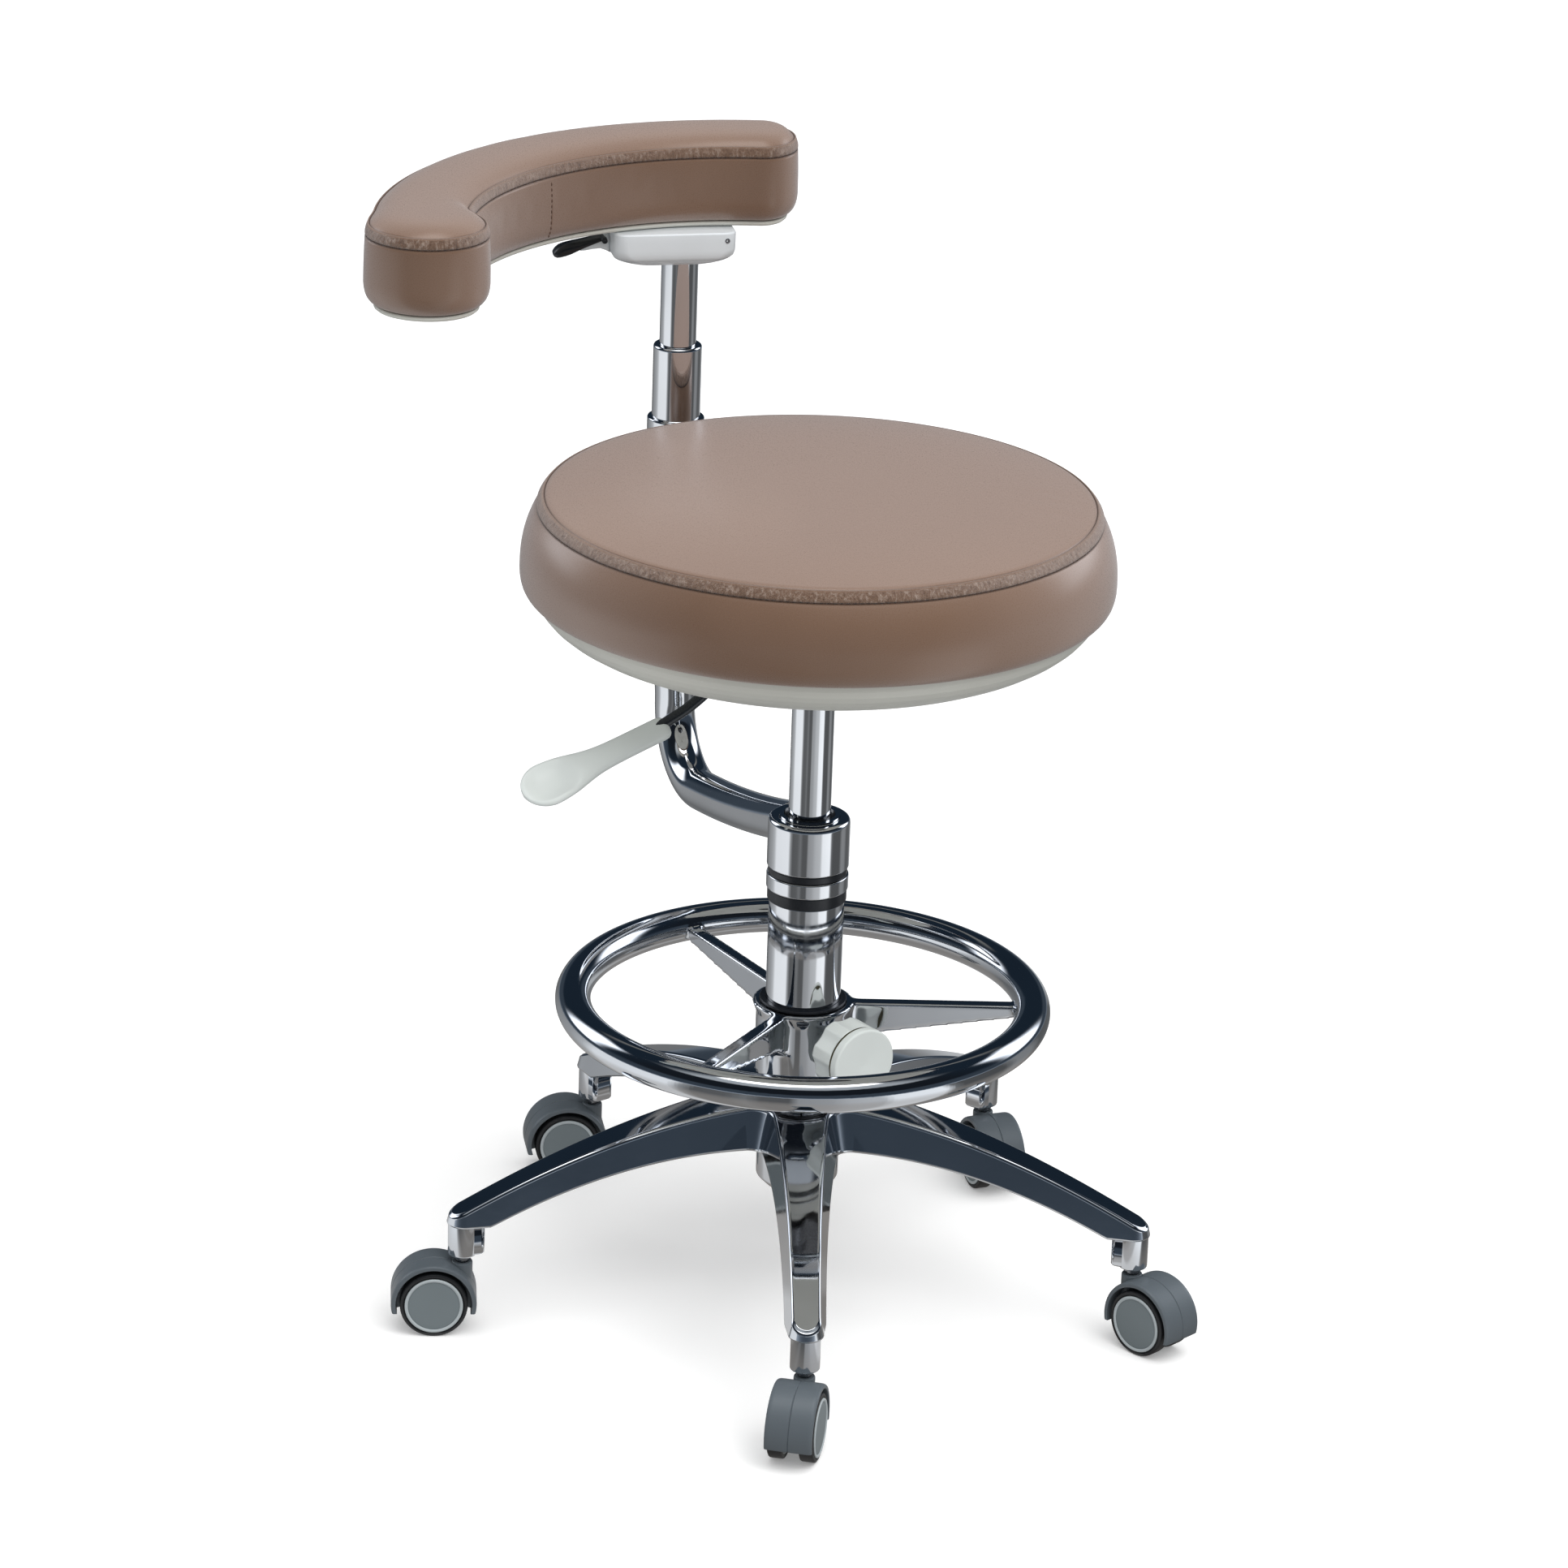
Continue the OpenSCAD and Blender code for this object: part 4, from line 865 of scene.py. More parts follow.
def hood_points():
    """The hood is a T-shaped section swept over the wheels: a wide arch on a narrow middle web."""
    section = rounded([(WEB_W / 2, 3.4), (WEB_W / 2, HOOD_R - HOOD_WALL), (HOOD_HALF_W, HOOD_R - HOOD_WALL),
                       (HOOD_HALF_W, HOOD_R), (0.5, HOOD_R), (0, HOOD_R - 0.6), (-0.5, HOOD_R),
                       (-HOOD_HALF_W, HOOD_R), (-HOOD_HALF_W, HOOD_R - HOOD_WALL),
                       (-WEB_W / 2, HOOD_R - HOOD_WALL), (-WEB_W / 2, 3.4)],
                      [0, 0.8, 0.7, 3.4, 0.25, 0.1, 0.25, 3.4, 0.7, 0.8, 0], 4)
    points = []
    for a in np.radians(np.linspace(-16, 196, 72)):
        for across, r in section:
            x, z = r * math.cos(a), r * math.sin(a)
            points.append((TRAIL + x, across, WHEEL_R + max(z, -HOOD_DROP)))
    return points, capped_faces(72, len(section))


def wheel_parts(side):
    """The wheel with its raised pale rim and faintly domed cap, and its tyre."""
    rim, outer = WHEEL_R - TYRE_T, WHEEL_IN + WHEEL_W
    turn = Matrix.Rotation(math.pi / 2 * (-1 if side > 0 else 1), 3, "X")
    axle = (TRAIL, 0, WHEEL_R)
    hub = rounded([(3.1, WHEEL_IN), (rim, WHEEL_IN), (rim, outer - 1.2), (rim - 1.2, outer - 0.9),
                   (3.1, outer - 2)], 0.4)
    edge = rounded([(rim - 2.7, outer - 1.4), (rim, outer - 1.4), (rim - 0.3, outer - 0.3),
                    (rim - 1.2, outer), (rim - 2.2, outer - 0.5)], [0, 0, 0.5, 0.5, 0.2])
    cap = [(0.01, outer - 1.8), (rim - 2, outer - 1.8), (rim - 2.1, outer - 0.75), (rim - 2.8, outer - 0.8)]
    cap += [((rim - 3.4) * f, outer - 0.55 + 0.35 * (1 - f * f)) for f in (1, 0.8, 0.6, 0.4, 0.2, 0.001)]
    tyre = rounded([(rim, WHEEL_IN), (WHEEL_R, WHEEL_IN), (WHEEL_R, outer - 1), (rim, outer - 1)],
                   [0, 1.4, 1.4, 0])
    hub, edge, tyre = (lathe(name, profile, axle, turn, 72)
                       for name, profile in (("hub", hub), ("edge", edge), ("tyre", tyre)))
    cap = lathe("cap", cap, axle, turn, 72, closed=False)
    for part, look in ((hub, WHEEL), (edge, RIM), (cap, WHEEL)):
        part.data.materials.append(look)
    return join("wheel", [hub, edge, cap]), tyre


def build_casters():
    points, faces = hood_points()
    hood = new_object("hood", points, faces)
    neck_low, neck_top = WHEEL_R + 10, BOSS_Z - 5
    neck = lathe("neck", rounded([(4.1, neck_low), (7, neck_low), (7, neck_top), (4.1, neck_top)],
                                 [0, 0, 1.5, 0.4]), segments=40)
    masters = [("hood", crisp(join("hood_master", [hood, neck])), GREY, "", "caster_plastic")]
    for letter, side in (("a", 1), ("b", -1)):
        wheel, tyre = wheel_parts(side)
        masters += [("wheel_" + letter, crisp(wheel), None, "_" + letter, "wheel_plastic"),
                    ("tyre_" + letter, tyre, TYRE, "_" + letter, "tyre")]
    for i in range(ARM_COUNT):
        turn, at = caster_frame(i)
        place = Matrix.LocRotScale(at * MM, turn, None)
        for part, master, look, body, slot in masters:
            piece = linked(f"twin_{i + 1}_{part}", master.data.copy())
            piece.data.transform(place)
            crisp(piece)
            finish_piece(piece, f"caster_{i + 1}{body}", look, f"caster_{i + 1}_{part}", slot=slot)
    for master in masters:
        bpy.data.objects.remove(master[1])


build_casters()

# ---------- cushions ----------


def bar_outline():
    """The bar in plan, as rays from its spine: start, direction and reach to the edge. The band
    and the round lobe at its end run into each other, as a cover stretched over both does."""
    mid = BAR_IN_R + BAR_W / 2
    half = BAR_W / 2
    centre = Vector(BAR_POS)
    lobe_s = mid + half + LOBE_OUT - LOBE_R
    first, last = math.radians(BAR_FROM), math.radians(BAR_TO)

    def spot(a, r):
        return centre + r * polar(a)

    lobe = spot(last, lobe_s)

    def outside(p):
        d = p - centre
        a = math.atan2(d.y, d.x) % (2 * math.pi)
        if a < first:
            q = p - spot(first, mid)
            x, y = q.dot(-polar(first + math.pi / 2)) / SHORT_END, q.dot(polar(first))
            band = (math.hypot(x, y) - half) * 0.9
        else:
            band = abs(d.length - mid) - half if a <= last else (p - spot(last, mid)).length - half
        round_d = (p - lobe).length - LOBE_R
        k = 9
        h = max(k - abs(band - round_d), 0) / k
        return min(band, round_d) - h * h * k * 0.25

    def reach(start, ray):
        low, high = 0.0, 60.0
        for _ in range(26):
            middle = (low + high) / 2
            low, high = (middle, high) if outside(start + ray * middle) < 0 else (low, middle)
        return low

    def rays(angles):
        found = []
        for a in angles:
            share = max(0, (a - last + 0.35) / 0.35)
            found.append((spot(a, mid).lerp(spot(a, lobe_s), share), polar(a)))
        return found

    even = np.linspace(first, last, 150)
    seam = math.atan2(on_bar.y - centre.y, on_bar.x - centre.x) % (2 * math.pi)
    fine = seam + np.array([-4, -2.2, -1.2, -0.7, -0.3, 0.3, 0.7, 1.2, 2.2, 4]) / BAR_IN_R
    outer = rays(even)
    coarse = even[np.abs(even - seam) * BAR_IN_R > 5]
    inner = [(s, -o) for s, o in reversed(rays(sorted([*coarse, *fine])))]
    caps = []
    for start, angle in ((outer[-1][0], last), (outer[0][0], first + math.pi)):
        caps.append([(start, polar(angle + t)) for t in np.linspace(0, math.pi, 42)[1:-1]])
    loop = outer + caps[0] + inner + caps[1]
    return [(s, ray, reach(s, ray)) for s, ray in loop]


def seat_outline():
    return [(Vector((0, 0)), polar(a), SEAT_R)
            for a in np.linspace(0, 2 * math.pi, 360, endpoint=False)]


def pad_points(outline, profile):
    """Rows of points: each row is (inset from the edge, share of the way to the spine, height)."""
    points = np.zeros((len(profile), len(outline), 3))
    for k, (start, ray, reach) in enumerate(outline):
        for r, (inset, share, z) in enumerate(profile):
            d = (reach - inset) * (1 - share)
            points[r, k] = (*(start + ray * d), z)
    return points


def pad_profile(edge_in, seam_in, seam_z, low_z, rise, widest_in, stitch_drop, under, belly=0.26):
    """Section of a padded form from its underside to its crown, with tags for seam rows: each row's share of
    a seam, which also darkens it with painted shade, and how much it puckers.
    """
    rows = [(under, 1, low_z, 0, 0), (under, 0.4, low_z, 0, 0), (under, 0, low_z, 0, 0)]
    wide_z = low_z + belly * (seam_z - low_z)
    stitch_z = seam_z - stitch_drop
    for t in np.linspace(0, 1, 9)[1:]:
        inset = quadratic(under - 1, 0, widest_in, t)
        rows.append((inset, 0, quadratic(low_z + 0.2, low_z + 0.5, wide_z, t), 0, 0))
    for t in np.linspace(0, 1, 16)[1:]:
        inset = quadratic(widest_in, widest_in + 0.1, edge_in, t)
        z = quadratic(wide_z, wide_z + 0.55 * (stitch_z - wide_z), stitch_z - 0.9, t)
        rows.append((inset, 0, z, 0, 0.0))
    fold = (seam_in - edge_in) / max(stitch_drop, 1e-6)
    rows += [(edge_in + 0.35, 0, stitch_z - 0.5, 0.5, 0.2), (edge_in + 0.95, 0, stitch_z, 1, 0.5),
             (edge_in + 0.35, 0, stitch_z + 0.5, 0.5, 1)]
    for t in np.linspace(0.14, 0.86, 6):
        bulge = 0.35 * math.sin(math.pi * t)
        rows.append((edge_in + fold * stitch_drop * t ** 1.5 - bulge, 0, stitch_z + stitch_drop * t, 0, 0.8))
    rows += [(seam_in - 0.35, 0, seam_z - 0.35, 0, 0.3), (seam_in + 0.1, 0, seam_z + 0.1, 0.1, 0),
             (seam_in + 0.75, 0, seam_z + 0.05, 0.5, 0), (seam_in + 1.1, 0, seam_z - 0.75, 1, 0),
             (seam_in + 1.55, 0, seam_z - 0.2, 0.35, 0), (seam_in + 2.2, 0, seam_z + 0.45, 0, 0)]
    for f in np.concatenate([np.linspace(0.02, 0.3, 12), np.linspace(0.35, 1, 12)]):
        rows.append((seam_in + 2.2, f, seam_z + 0.45 + (rise - 0.45) * (1 - (1 - f) ** 4.2), 0, 0))
    return rows


def inflate(source, pinned, voxel, cap):
    """Blows a closed copy of a pad up with Cloth, held along pinned rows, and gives back how far its
    skin moved, as a tree of places and their moves in metres."""
    copy = linked("inflating", source)
    remesh = copy.modifiers.new("Remesh", "REMESH")
    remesh.mode, remesh.voxel_size = "VOXEL", voxel * MM
    mesh = evaluated_mesh(copy)
    copy.modifiers.clear()
    copy.data = mesh
    rest = coordinates(mesh)
    held = copy.vertex_groups.new(name="held")
    tree = point_tree(pinned)
    held.add([k for k, p in enumerate(rest) if tree.find(p)[2] < voxel * MM * 0.8], 1.0, "REPLACE")
    cloth = copy.modifiers.new("Cloth", "CLOTH")
    cloth.settings.vertex_group_mass = "held"
    cloth.settings.use_pressure = True
    cloth.settings.uniform_pressure_force = 4
    cloth.settings.effector_weights.gravity = 0
    cloth.settings.tension_stiffness = cloth.settings.compression_stiffness = 22
    cloth.settings.bending_stiffness = 1.2
    cloth.collision_settings.use_collision = False
    cloth.point_cache.frame_start, cloth.point_cache.frame_end = 1, 20
    for step in range(1, 21):
        bpy.context.scene.frame_set(step)
    moved = coordinates(evaluated_mesh(copy)) - rest
    bpy.context.scene.frame_set(1)
    bpy.data.objects.remove(copy)
    length = np.linalg.norm(moved, axis=1, keepdims=True)
    moved *= np.minimum(1, cap * MM / np.maximum(length, 1e-9))
    return point_tree(rest), moved


def seam_share(points, seam):
    """How much each place along an outline lies in the upright seam that passes through seam."""
    away = np.hypot(points[:, 0] - seam.x, points[:, 1] - seam.y)
    return np.clip(1.4 - away / 0.8, 0, 1)


def pad(name, outline, profile, body, replaced, share, cap, upright=None):
    """A cushion: a fine mesh that carries its seams, shaped by a simulated inflation."""
    points = pad_points(outline, [row[:3] for row in profile])
    count = len(outline)
    groove = np.repeat([float(row[3]) for row in profile], count)
    pucker = np.repeat([float(row[4]) for row in profile], count)
    # The upright seam of the bar is sunk a little into the side, and darkened with painted shade.
    if upright is not None:
        stitched = next(r for r, row in enumerate(profile) if row[3] > 0)
        for r in range(2, stitched):
            sunk = seam_share(points[r], upright)
            for k in np.flatnonzero(sunk):
                points[r, k, :2] -= 0.7 * sunk[k] * np.array(outline[k][1])
                groove[r * count + k] = max(groove[r * count + k], 0.8 * sunk[k])
    obj = new_object(name, points, grid_faces(len(profile), count))
    co = coordinates(obj.data)
    original = point_tree(points.reshape(-1, 3) * MM)
    source = [original.find(p)[1] for p in co]
    low = profile[0][2] + 1
    seams = [p for row, line in zip(profile, points)
             if row[3] == 1 or row[1] == 0 and row[2] < low for p in line * MM]
    skin, moved = inflate(obj.data.copy(), seams, 5, cap)
    soft = np.zeros_like(co)
    for k, p in enumerate(co):
        near = skin.find_n(p, 6)
        weight = np.array([1 / (d + 0.002) ** 2 for _, _, d in near])
        soft[k] = (moved[[i for _, i, _ in near]] * weight[:, None]).sum(0) / weight.sum()
    ease = np.array([min(1, 0.15 + 1.0 * abs(groove[s] - 1)) for s in source])[:, None]
    co = co + soft * share * ease
    obj.data.vertices.foreach_set("co", co.ravel())
    # The seam share darkens the vinyl with painted shade. The pucker share drives its folds, painted
    # highlights and painted crease shade.
    for key, values in (("groove", groove), ("pucker", pucker)):
        layer = obj.data.attributes.new(key, "FLOAT", "POINT")
        layer.data.foreach_set("value", np.array([values[s] for s in source], np.float32))
    finish_piece(obj, body, VINYL, *replaced, slot="vinyl")
    return obj


def round_line(outline, inset, z):
    """A closed line along an outline, drawn in by inset."""
    line = [Vector((*(s + ray * (reach - inset)), z)) for s, ray, reach in outline]
    return line + line[:1]


def stitches(name, line, spacing, surface):
    """A row of sewn stitches along a line, each a short thread that dips at both ends."""
    tree = surface_of(surface)
    steps = [(b - a).length for a, b in zip(line, line[1:])]
    total, points, faces, walked, k = sum(steps), [], [], 0.0, 0
    number = round(total / spacing)
    for n in range(number):
        target = total * n / number
        while walked + steps[k] < target and k < len(steps) - 1:
            walked += steps[k]
            k += 1
        a, b = line[k], line[k + 1]
        middle = a.lerp(b, (target - walked) / max(steps[k], 1e-6))
        run = (b - a).normalized()
        hit, normal, _, _ = tree.find_nearest(middle * MM)
        middle, across = hit / MM, normal.cross(run).normalized()
        for j, t in enumerate((-0.5, -0.3, 0, 0.3, 0.5)):
            thick = (0.12, 0.36, 0.42, 0.36, 0.12)[j]
            lift = (-0.25, 0.1, 0.22, 0.1, -0.25)[j]
            centre = middle + run * t * spacing * 0.78 + normal * lift
            for a6 in range(6):
                angle = math.pi * a6 / 3
                points.append(centre + thick * (math.cos(angle) * across + math.sin(angle) * normal))
        faces += grid_faces(5, 6, first=n * 30)
    return new_object(name, points, faces)


STITCH_DROP, SEAT_STITCH_R, SEAT_SEAM_R, STITCH_STEP = 7.3, 183.6, 179.6, 4.2
seat_rows = pad_profile(SEAT_R - SEAT_STITCH_R, SEAT_R - SEAT_SEAM_R, SEAM_Z, VINYL_Z,
                        SEAT_Z - SEAM_Z - 1.5, 0.8, STITCH_DROP, 8)
seat = pad("seat_pad", seat_outline(), seat_rows, "seat", ["seat_cushion"], 0.5, 5)
bar_seam_z = BAR_Z + BAR_SIDE_H - 0.5
bar_rows = pad_profile(1.6, 3.4, bar_seam_z, BAR_Z - 3, BAR_CROWN - 1, 0.8, STITCH_DROP, 12, 0.34)
bar_edge = bar_outline()
bar = pad("bar_pad", bar_edge, bar_rows, "bar", ["bar_cushion"], 0.5, 4, upright=on_bar)
seat_line = round_line(seat_outline(), SEAT_R - SEAT_STITCH_R + 0.9, SEAM_Z - STITCH_DROP)
finish_piece(stitches("seat_stitches", seat_line, STITCH_STEP, seat), "seat", THREAD, slot="vinyl")
bar_stitch_z = bar_seam_z - STITCH_DROP
upright_line = [Vector((on_bar.x, on_bar.y, z)) for z in np.linspace(BAR_Z, bar_stitch_z - 1, 24)]
round_thread = stitches("round", round_line(bar_edge, 2.5, bar_stitch_z), STITCH_STEP, bar)
bar_thread = join("bar_stitches", [round_thread, stitches("upright", upright_line, 3.6, bar)])
finish_piece(bar_thread, "bar", THREAD, slot="vinyl")

# ---------- bar fittings ----------


def build_tray():
    rows = [(TRAY_IN + 16, 0, BAR_Z - 3.05), (TRAY_IN + 6, 0, BAR_Z - 3.05), (TRAY_IN + 4.9, 0, BAR_Z - 3.3),
            (TRAY_IN + 4.4, 0, BAR_Z - 4.2), (TRAY_IN + 4.7, 0, BAR_Z - 5.2), (TRAY_IN + 6, 0, BAR_Z - 6.3),
            (TRAY_IN + 8, 0, BAR_Z - 6.9)]
    rows += [(TRAY_IN + 11, share, BAR_Z - TRAY_T) for share in (0, 0.4, 1)]
    tray = new_object("bar_base", pad_points(bar_edge, rows), grid_faces(len(rows), len(bar_edge)))
    return finish_piece(tray, "bar", CREAM, "bar_tray", slot="cream_plastic")


build_tray()
bracket_turn = Matrix.Rotation(math.radians(BRACKET_TURN), 3, "Z")
bracket_low = BAR_Z - TRAY_T - BRACKET_H
half_w, half_d = BRACKET_W / 2, BRACKET_D / 2


def bracket_level(z, inset, corner):
    return (bracket_low + z, half_w - inset, half_d - inset, corner, (0, 0))


bracket_at = bracket_turn @ Vector((-BRACKET_SHIFT, 0, 0)) + Vector((*POST_AT, 0))
bracket = loft("mount", [bracket_level(*level) for level in (
    (0, 19, 12), (0.2, 14, 15), (1, 9.5, 17), (2.4, 6, 18), (4, 3.4, 17), (5.2, 2.0, 15.5), (5.5, 2.3, 15.5),
    (5.9, 2.2, 15), (6.3, 1.3, 14), (8, 0.5, 12), (10.5, 0.1, 10), (13, 0, 9), (18, 0, 8.5), (23.6, 0, 8.5),
    (24.6, 0.5, 8.5), (24.95, 1.4, 8.5))], bracket_turn, bracket_at)


def in_bracket(x, y, z):
    return bracket_turn @ Vector((x, y, 0)) + bracket_at + Vector((0, 0, z))


def paddle_lug():
    """The lug under the paddle, which carries its pivot: deep at the bracket, thin at its end."""
    rows, sides = [], 20
    for x, low, high, half in ((0, 6, 20, 7), (-3, 7.5, 19, 6.6), (-7, 9, 16.5, 6.2), (-12, 8.6, 13.8, 5.6),
                               (-17, 7.6, 11.6, 4.6), (-20, 7.2, 10.4, 3.4), (-21, 7.8, 9.8, 2)):
        for a in np.linspace(0, 2 * math.pi, sides, endpoint=False):
            c, z = math.cos(a), math.sin(a)
            rows.append(in_bracket(1 - half_w + x, half * squared(c, 0.6),
                                   bracket_low + (low + high) / 2 + (high - low) / 2 * squared(z, 0.6)))
    return new_object("lug", rows, capped_faces(7, sides))


def bracket_screw():
    """The small screw high on the bracket's front face, near its right end."""
    spot = in_bracket(half_w - 7, -half_d, bracket_low + 19.5)
    turn = bracket_turn @ Matrix.Rotation(math.pi / 2, 3, "X")
    profile = [(0.01, -0.5), (1.7, -0.5), (1.7, 0.35), (0.9, 0.35), (0.7, -0.2), (0.01, -0.2)]
    head = lathe("head", rounded(profile, [0, 0, 0.3, 0.1, 0.1, 0]), spot, turn, 24, closed=False)
    head.data.materials.append(DARK_STEEL)
    return head


for part in (bracket, lug := paddle_lug()):
    part.data.materials.append(WHITE)
finish_piece(crisp(join("bar_mount", [bracket, lug, bracket_screw()])), "bar", None, "bar_bracket",
             slot="white_plastic")


def build_paddle():
    """The squeeze paddle: a thin tail at its pivot that thickens into a rounded end."""
    fall = math.radians(PADDLE_FALL)
    x0, z0 = -BRACKET_W / 2 - 4, bracket_low + BRACKET_H - 9
    rows, sides = [], 32
    stations = [-3, -2.6, -1.5, 0, *np.linspace(4, PADDLE_L - 6, 8),
                *(PADDLE_L - np.array([3.5, 1.8, 0.7, 0.1]))]
    for s in stations:
        start = math.sqrt(max(0.02, 1 - max(0, -s / 3) ** 2))
        end = math.sqrt(max(0.02, 1 - max(0, (s - PADDLE_L + 6) / 6) ** 2))
        swell = min(1, max(0, s) / (PADDLE_L - 12)) ** 1.4
        half_t = (1.7 + 3.0 * swell) * start * end
        half_w = (PADDLE_W / 2 - 0.4) * (0.8 + 0.2 * start) * (0.45 + 0.55 * end)
        drop = -1.6 * swell
        for a in np.linspace(0, 2 * math.pi, sides, endpoint=False):
            y = half_w * squared(math.cos(a), 0.6)
            t = drop + half_t * squared(math.sin(a), 0.8)
            x, z = -s * math.cos(fall) + t * math.sin(fall), -s * math.sin(fall) + t * math.cos(fall)
            rows.append(in_bracket(x0 + x, y, z0 + z))
    blade = new_object("blade", rows, capped_faces(len(stations), sides))
    pin_half = PADDLE_W / 2 + 3.4
    pin = lathe("pin", rounded([(0.01, -pin_half), (2, -pin_half), (2, pin_half), (0.01, pin_half)],
                               [0, 0.4, 0.4, 0]), in_bracket(x0, 0, z0),
                bracket_turn @ Matrix.Rotation(math.pi / 2, 3, "X"), 24)
    paddle = join("release_paddle", [blade, pin])
    return finish_piece(paddle, "paddle", BLACK, "bar_paddle", slot="black_plastic")


build_paddle()

# ---------- floor, cards and light ----------


def emitter(name):
    """A material that only gives off light, and the node that sets it."""
    material = bpy.data.materials.new(name)
    material.use_nodes = True
    nodes_, links = material.node_tree.nodes, material.node_tree.links
    nodes_.clear()
    out = nodes_.new("ShaderNodeOutputMaterial")
    emission = nodes_.new("ShaderNodeEmission")
    emission.inputs["Strength"].default_value = 1
    links.new(emission.outputs[0], out.inputs["Surface"])
    return material, emission


FLOOR_HALF = 9000
corners = [(FLOOR_HALF * x, FLOOR_HALF * y, 0) for x, y in ((-1, -1), (1, -1), (1, 1), (-1, 1))]
floor = new_object("floor", corners, [(0, 1, 2, 3)])
paper = Shader("floor", Base_Color=(0.94, 0.94, 0.94), Roughness=1.0, Specular_IOR_Level=0.0,
               Emission_Color=(1, 1, 1))
seen = paper.node("LightPath").outputs["Is Camera Ray"]
paper.links.new(paper.math("MULTIPLY", seen, 0.20), paper.bsdf.inputs["Emission Strength"])
floor.data.materials.append(paper.material)
floor.visible_diffuse = False

# What polished metal mirrors, by direction. Angles are degrees: round, from the camera's side and
# positive to its right, and up. On the floor lie light and dark strips.
STRIPS = [(-180, 0.2), (-152, 0.16), (-138, 0.30), (-120, 0.40), (-108, 0.55), (-98, 0.95), (-56, 1.0),
          (-50, 0.34), (-44, 0.12), (-30, 0.13), (-22, 0.20), (-15, 0.11), (-4, 0.11), (0, 0.34),
          (12, 0.40), (20, 0.52), (34, 0.60), (40, 1.05), (62, 1.15), (67, 0.20), (72, 0.10), (96, 0.10),
          (106, 0.28), (118, 0.26), (128, 0.12), (150, 0.14), (160, 0.5), (168, 0.5), (174, 0.2),
          (180, 0.2)]
NAVY, SLATE, WARM = (0.012, 0.021, 0.034), (0.045, 0.060, 0.080), (0.40, 0.37, 0.34)


def smooth(value, low, high):
    t = min(1, max(0, (value - low) / (high - low)))
    return t * t * (3 - 2 * t)


def blend(a, b, share):
    return tuple((1 - share) * x + share * y for x, y in zip(a, b))


def strip_level(turn):
    for (a, low), (b, high) in zip(STRIPS, STRIPS[1:]):
        if a <= turn <= b:
            return low + (high - low) * (turn - a) / (b - a)
    return 0.2


def studio_colour(turn, rise, reach):
    """The colour of the cards in one direction. reach is how far out on the floor it lies, in metres."""
    level = strip_level(turn)
    floor_light = blend((level * 0.97, level, level * 1.03), WARM, 0.5 - 0.5 * smooth(reach, 0.25, 0.55))
    if rise < -9:
        return floor_light
    back = smooth(abs(turn), 60, 110)
    wall = blend(SLATE, (0.010, 0.013, 0.018), smooth(rise, 12, 17))
    wall = blend(wall, (0.42, 0.45, 0.48), (1 - back) * smooth(rise, 44, 50))
    sky = blend(wall, NAVY, back * smooth(rise, 6, 12))
    horizon = math.exp(-((rise + 6.5) / 2.4) ** 2) * (1 - 0.6 * back)
    lit = blend(sky, (0.40, 0.46, 0.54), horizon)
    over = smooth(rise, 62 + 17 * back, 68 + 15 * back)
    lit = blend(lit, (3.0, 3.0, 3.0), over)
    for middle, width, strength in ((-118, 14, 2.4), (122, 16, 2.6)):
        beside = math.exp(-((turn - middle) / width) ** 4) * smooth(rise, 3, 8) * (1 - smooth(rise, 34, 42))
        lit = blend(lit, (strength * 0.92, strength * 0.97, strength * 1.05), beside)
    bar_light = math.exp(-((abs(turn) - 180) / 30) ** 4) * math.exp(-((rise - 40) / 2.6) ** 4)
    lit = blend(lit, (0.22, 0.22, 0.21), bar_light)
    return blend(floor_light, lit, smooth(rise, -9, -6))


def build_studio():
    """One closed room of cards: a floor of strips, a round wall and a ceiling."""
    front = math.degrees(math.atan2(CAMERA_AT.y, CAMERA_AT.x))
    eye, wall, ceiling = 0.35, 3.6, 3.0
    turns, rises = np.linspace(-180, 180, 361), np.arange(-88.0, 90.0, 1.0)
    points, colours = [], []
    for rise in rises:
        slope = math.tan(math.radians(rise))
        reach = min(wall, (eye - 0.003) / -slope if slope < 0 else (ceiling - eye) / max(slope, 1e-6))
        for turn in turns:
            a = math.radians(front + turn)
            points.append((reach / MM * math.cos(a), reach / MM * math.sin(a), (eye + reach * slope) / MM))
            colours.append((*studio_colour(turn, rise, reach if rise < 0 and reach < wall else wall), 1))
    look, light = emitter("studio_cards")
    shade = look.node_tree.nodes.new("ShaderNodeAttribute")
    shade.attribute_name = "shade"
    look.node_tree.links.new(shade.outputs["Color"], light.inputs["Color"])
    mesh = bpy.data.meshes.new("studio_cards")
    mesh.from_pydata((np.array(points) * MM).tolist(), [], grid_faces(len(rises), len(turns), ring=False))
    layer = mesh.attributes.new("shade", "FLOAT_COLOR", "POINT")
    layer.data.foreach_set("color", np.array(colours, np.float32).ravel())
    mesh.materials.append(look)
    obj = linked("studio_cards", mesh)
    obj.visible_camera = obj.visible_diffuse = obj.visible_shadow = obj.visible_transmission = False


build_studio()


def lamp(name, at, size, power, colour):
    data = bpy.data.lights.new(name, "AREA")
    data.energy, data.size, data.color = power, size, colour
    obj = linked(name, data)
    towards = Vector((0, 0, 0.35)) - Vector(at)
    obj.matrix_world = Matrix.LocRotScale(Vector(at), towards.to_track_quat("-Z", "Y"), None)
    obj.visible_glossy = False


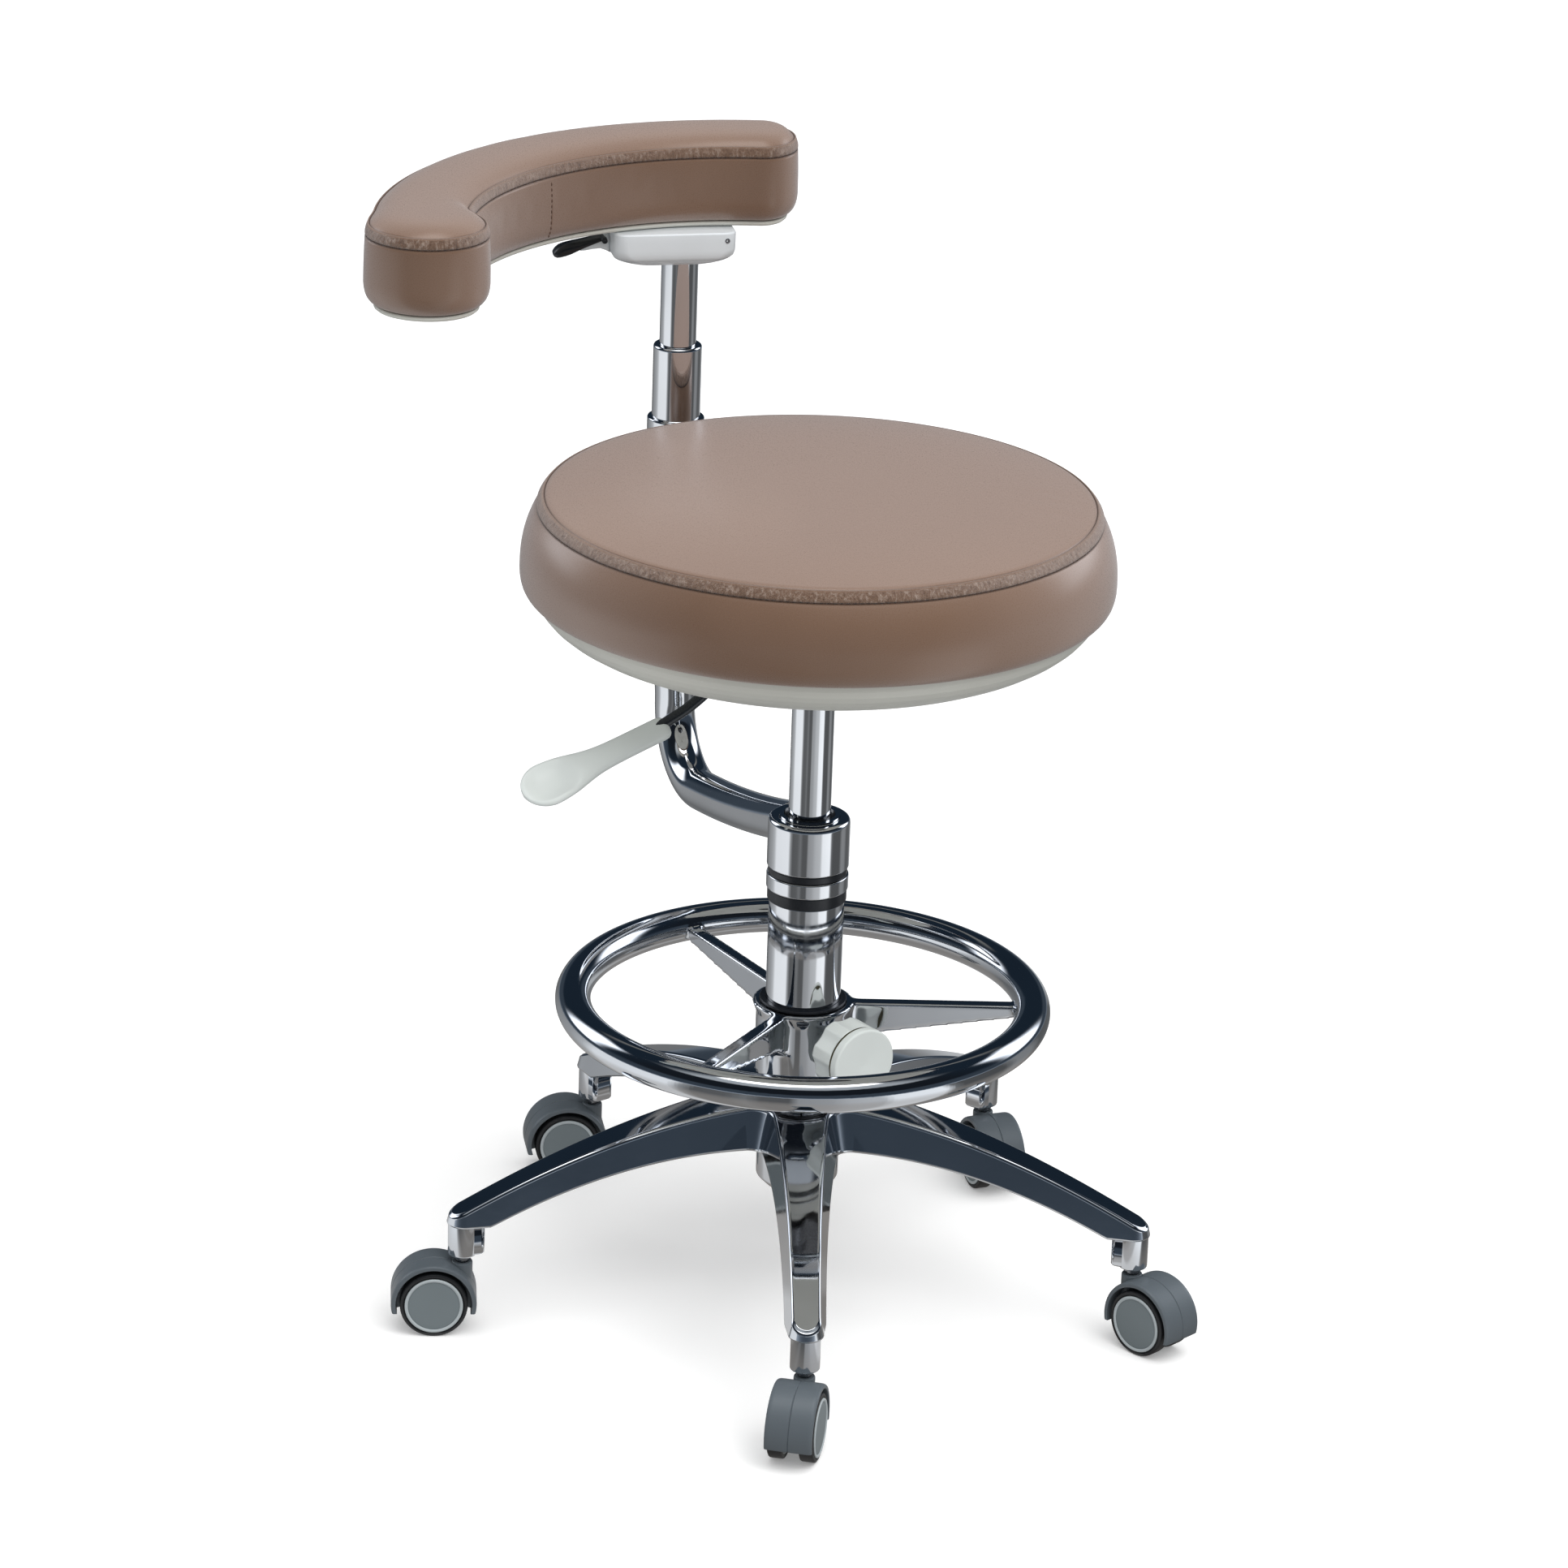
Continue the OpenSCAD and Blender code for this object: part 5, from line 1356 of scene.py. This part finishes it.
lamp("key", (1.6, -2.0, 3.4), 2.2, 26, (1, 0.99, 0.97))
lamp("fill", (-3.0, -1.8, 2.4), 2.6, 10, (0.96, 0.98, 1))
sun = bpy.data.lights.new("sky", "SUN")
sun.energy, sun.angle = 1.95, math.radians(70)
sky = linked("sky", sun)
sky.matrix_world = Matrix.LocRotScale(None, Vector((0.25, -0.35, 1)).to_track_quat("Z", "Y"), None)
sky.visible_glossy = False

world = bpy.data.worlds.new("world")
bpy.context.scene.world = world
world.use_nodes = True
wt = world.node_tree
background = wt.nodes["Background"]
background.inputs["Color"].default_value = (1, 1, 1, 1)
path = wt.nodes.new("ShaderNodeLightPath")
both = path.outputs["Is Camera Ray"]
for ray in ("Is Glossy Ray", "Is Transmission Ray"):
    either = wt.nodes.new("ShaderNodeMath")
    either.operation = "MAXIMUM"
    wt.links.new(both, either.inputs[0])
    wt.links.new(path.outputs[ray], either.inputs[1])
    both = either.outputs[0]
strength = wt.nodes.new("ShaderNodeMapRange")
wt.links.new(both, strength.inputs["Value"])
strength.inputs["To Min"].default_value, strength.inputs["To Max"].default_value = 0.52, 1.0
wt.links.new(strength.outputs["Result"], background.inputs["Strength"])

bpy.context.scene.view_settings.view_transform = "Standard"


def shown(point):
    """Image place of a point in metres."""
    at = view.transposed() @ (Vector(point) - CAMERA_AT)
    return (W / 2 - SHIFT_X * L + at.x / -at.z * L * LENS / SENSOR,
            H / 2 + SHIFT_Y * L - at.y / -at.z * L * LENS / SENSOR)


def edge_miss(name, objs, pick, axis):
    """How far in x and y the edge of some pieces lies from its image point: of the vertices within
    2 pixels of the outermost, the one nearest to the point the other way."""
    spots = [shown(obj.matrix_world @ v.co) for obj in objs for v in obj.data.vertices]
    outermost = pick(p[axis] for p in spots)
    spot = min((p for p in spots if abs(p[axis] - outermost) < 2),
               key=lambda p: abs(p[1 - axis] - EDGES[name][1 - axis]))
    return [round(spot[0] - EDGES[name][0], 1), round(spot[1] - EDGES[name][1], 1)]


bpy.context.view_layer.update()
made = bpy.data.objects
hoods = [made[f"twin_{i + 1}_hood"] for i in range(ARM_COUNT)]
tyres = [made[f"twin_{i + 1}_tyre_{side}"] for i in range(ARM_COUNT) for side in "ab"]
misses = {name: edge_miss(name, objs, pick, axis) for name, objs, pick, axis in (
    ("bar_left", [bar], min, 0), ("bar_top", [bar], min, 1), ("hood_right", hoods, max, 0),
    ("caster_bottom", hoods + tyres, max, 1), ("seat_left", [seat], min, 0), ("seat_right", [seat], max, 0),
    ("lever_tip", [made["lever_grip"]], min, 0), ("knob_right", [knob], max, 0),
    ("ring_left", [ring], min, 0), ("ring_right", [ring], max, 0))}
seam_spots = {
    "bar_seam": on_bar * MM,
    "seat_seam": Vector((on_seat.x, -SEAM_R, SEAM_Z)) * MM,
    "seat_stitch": Vector((on_seat.x, -184, SEAM_Z - STITCH_DROP)) * MM,
    "bar_stitch": placed(SEAMS["bar_stitch"], surface_of(bar)) * MM,
}
for name, spot in seam_spots.items():
    x, y = shown(spot)
    misses[name] = [round(x - SEAMS[name][0], 1), round(y - SEAMS[name][1], 1)]
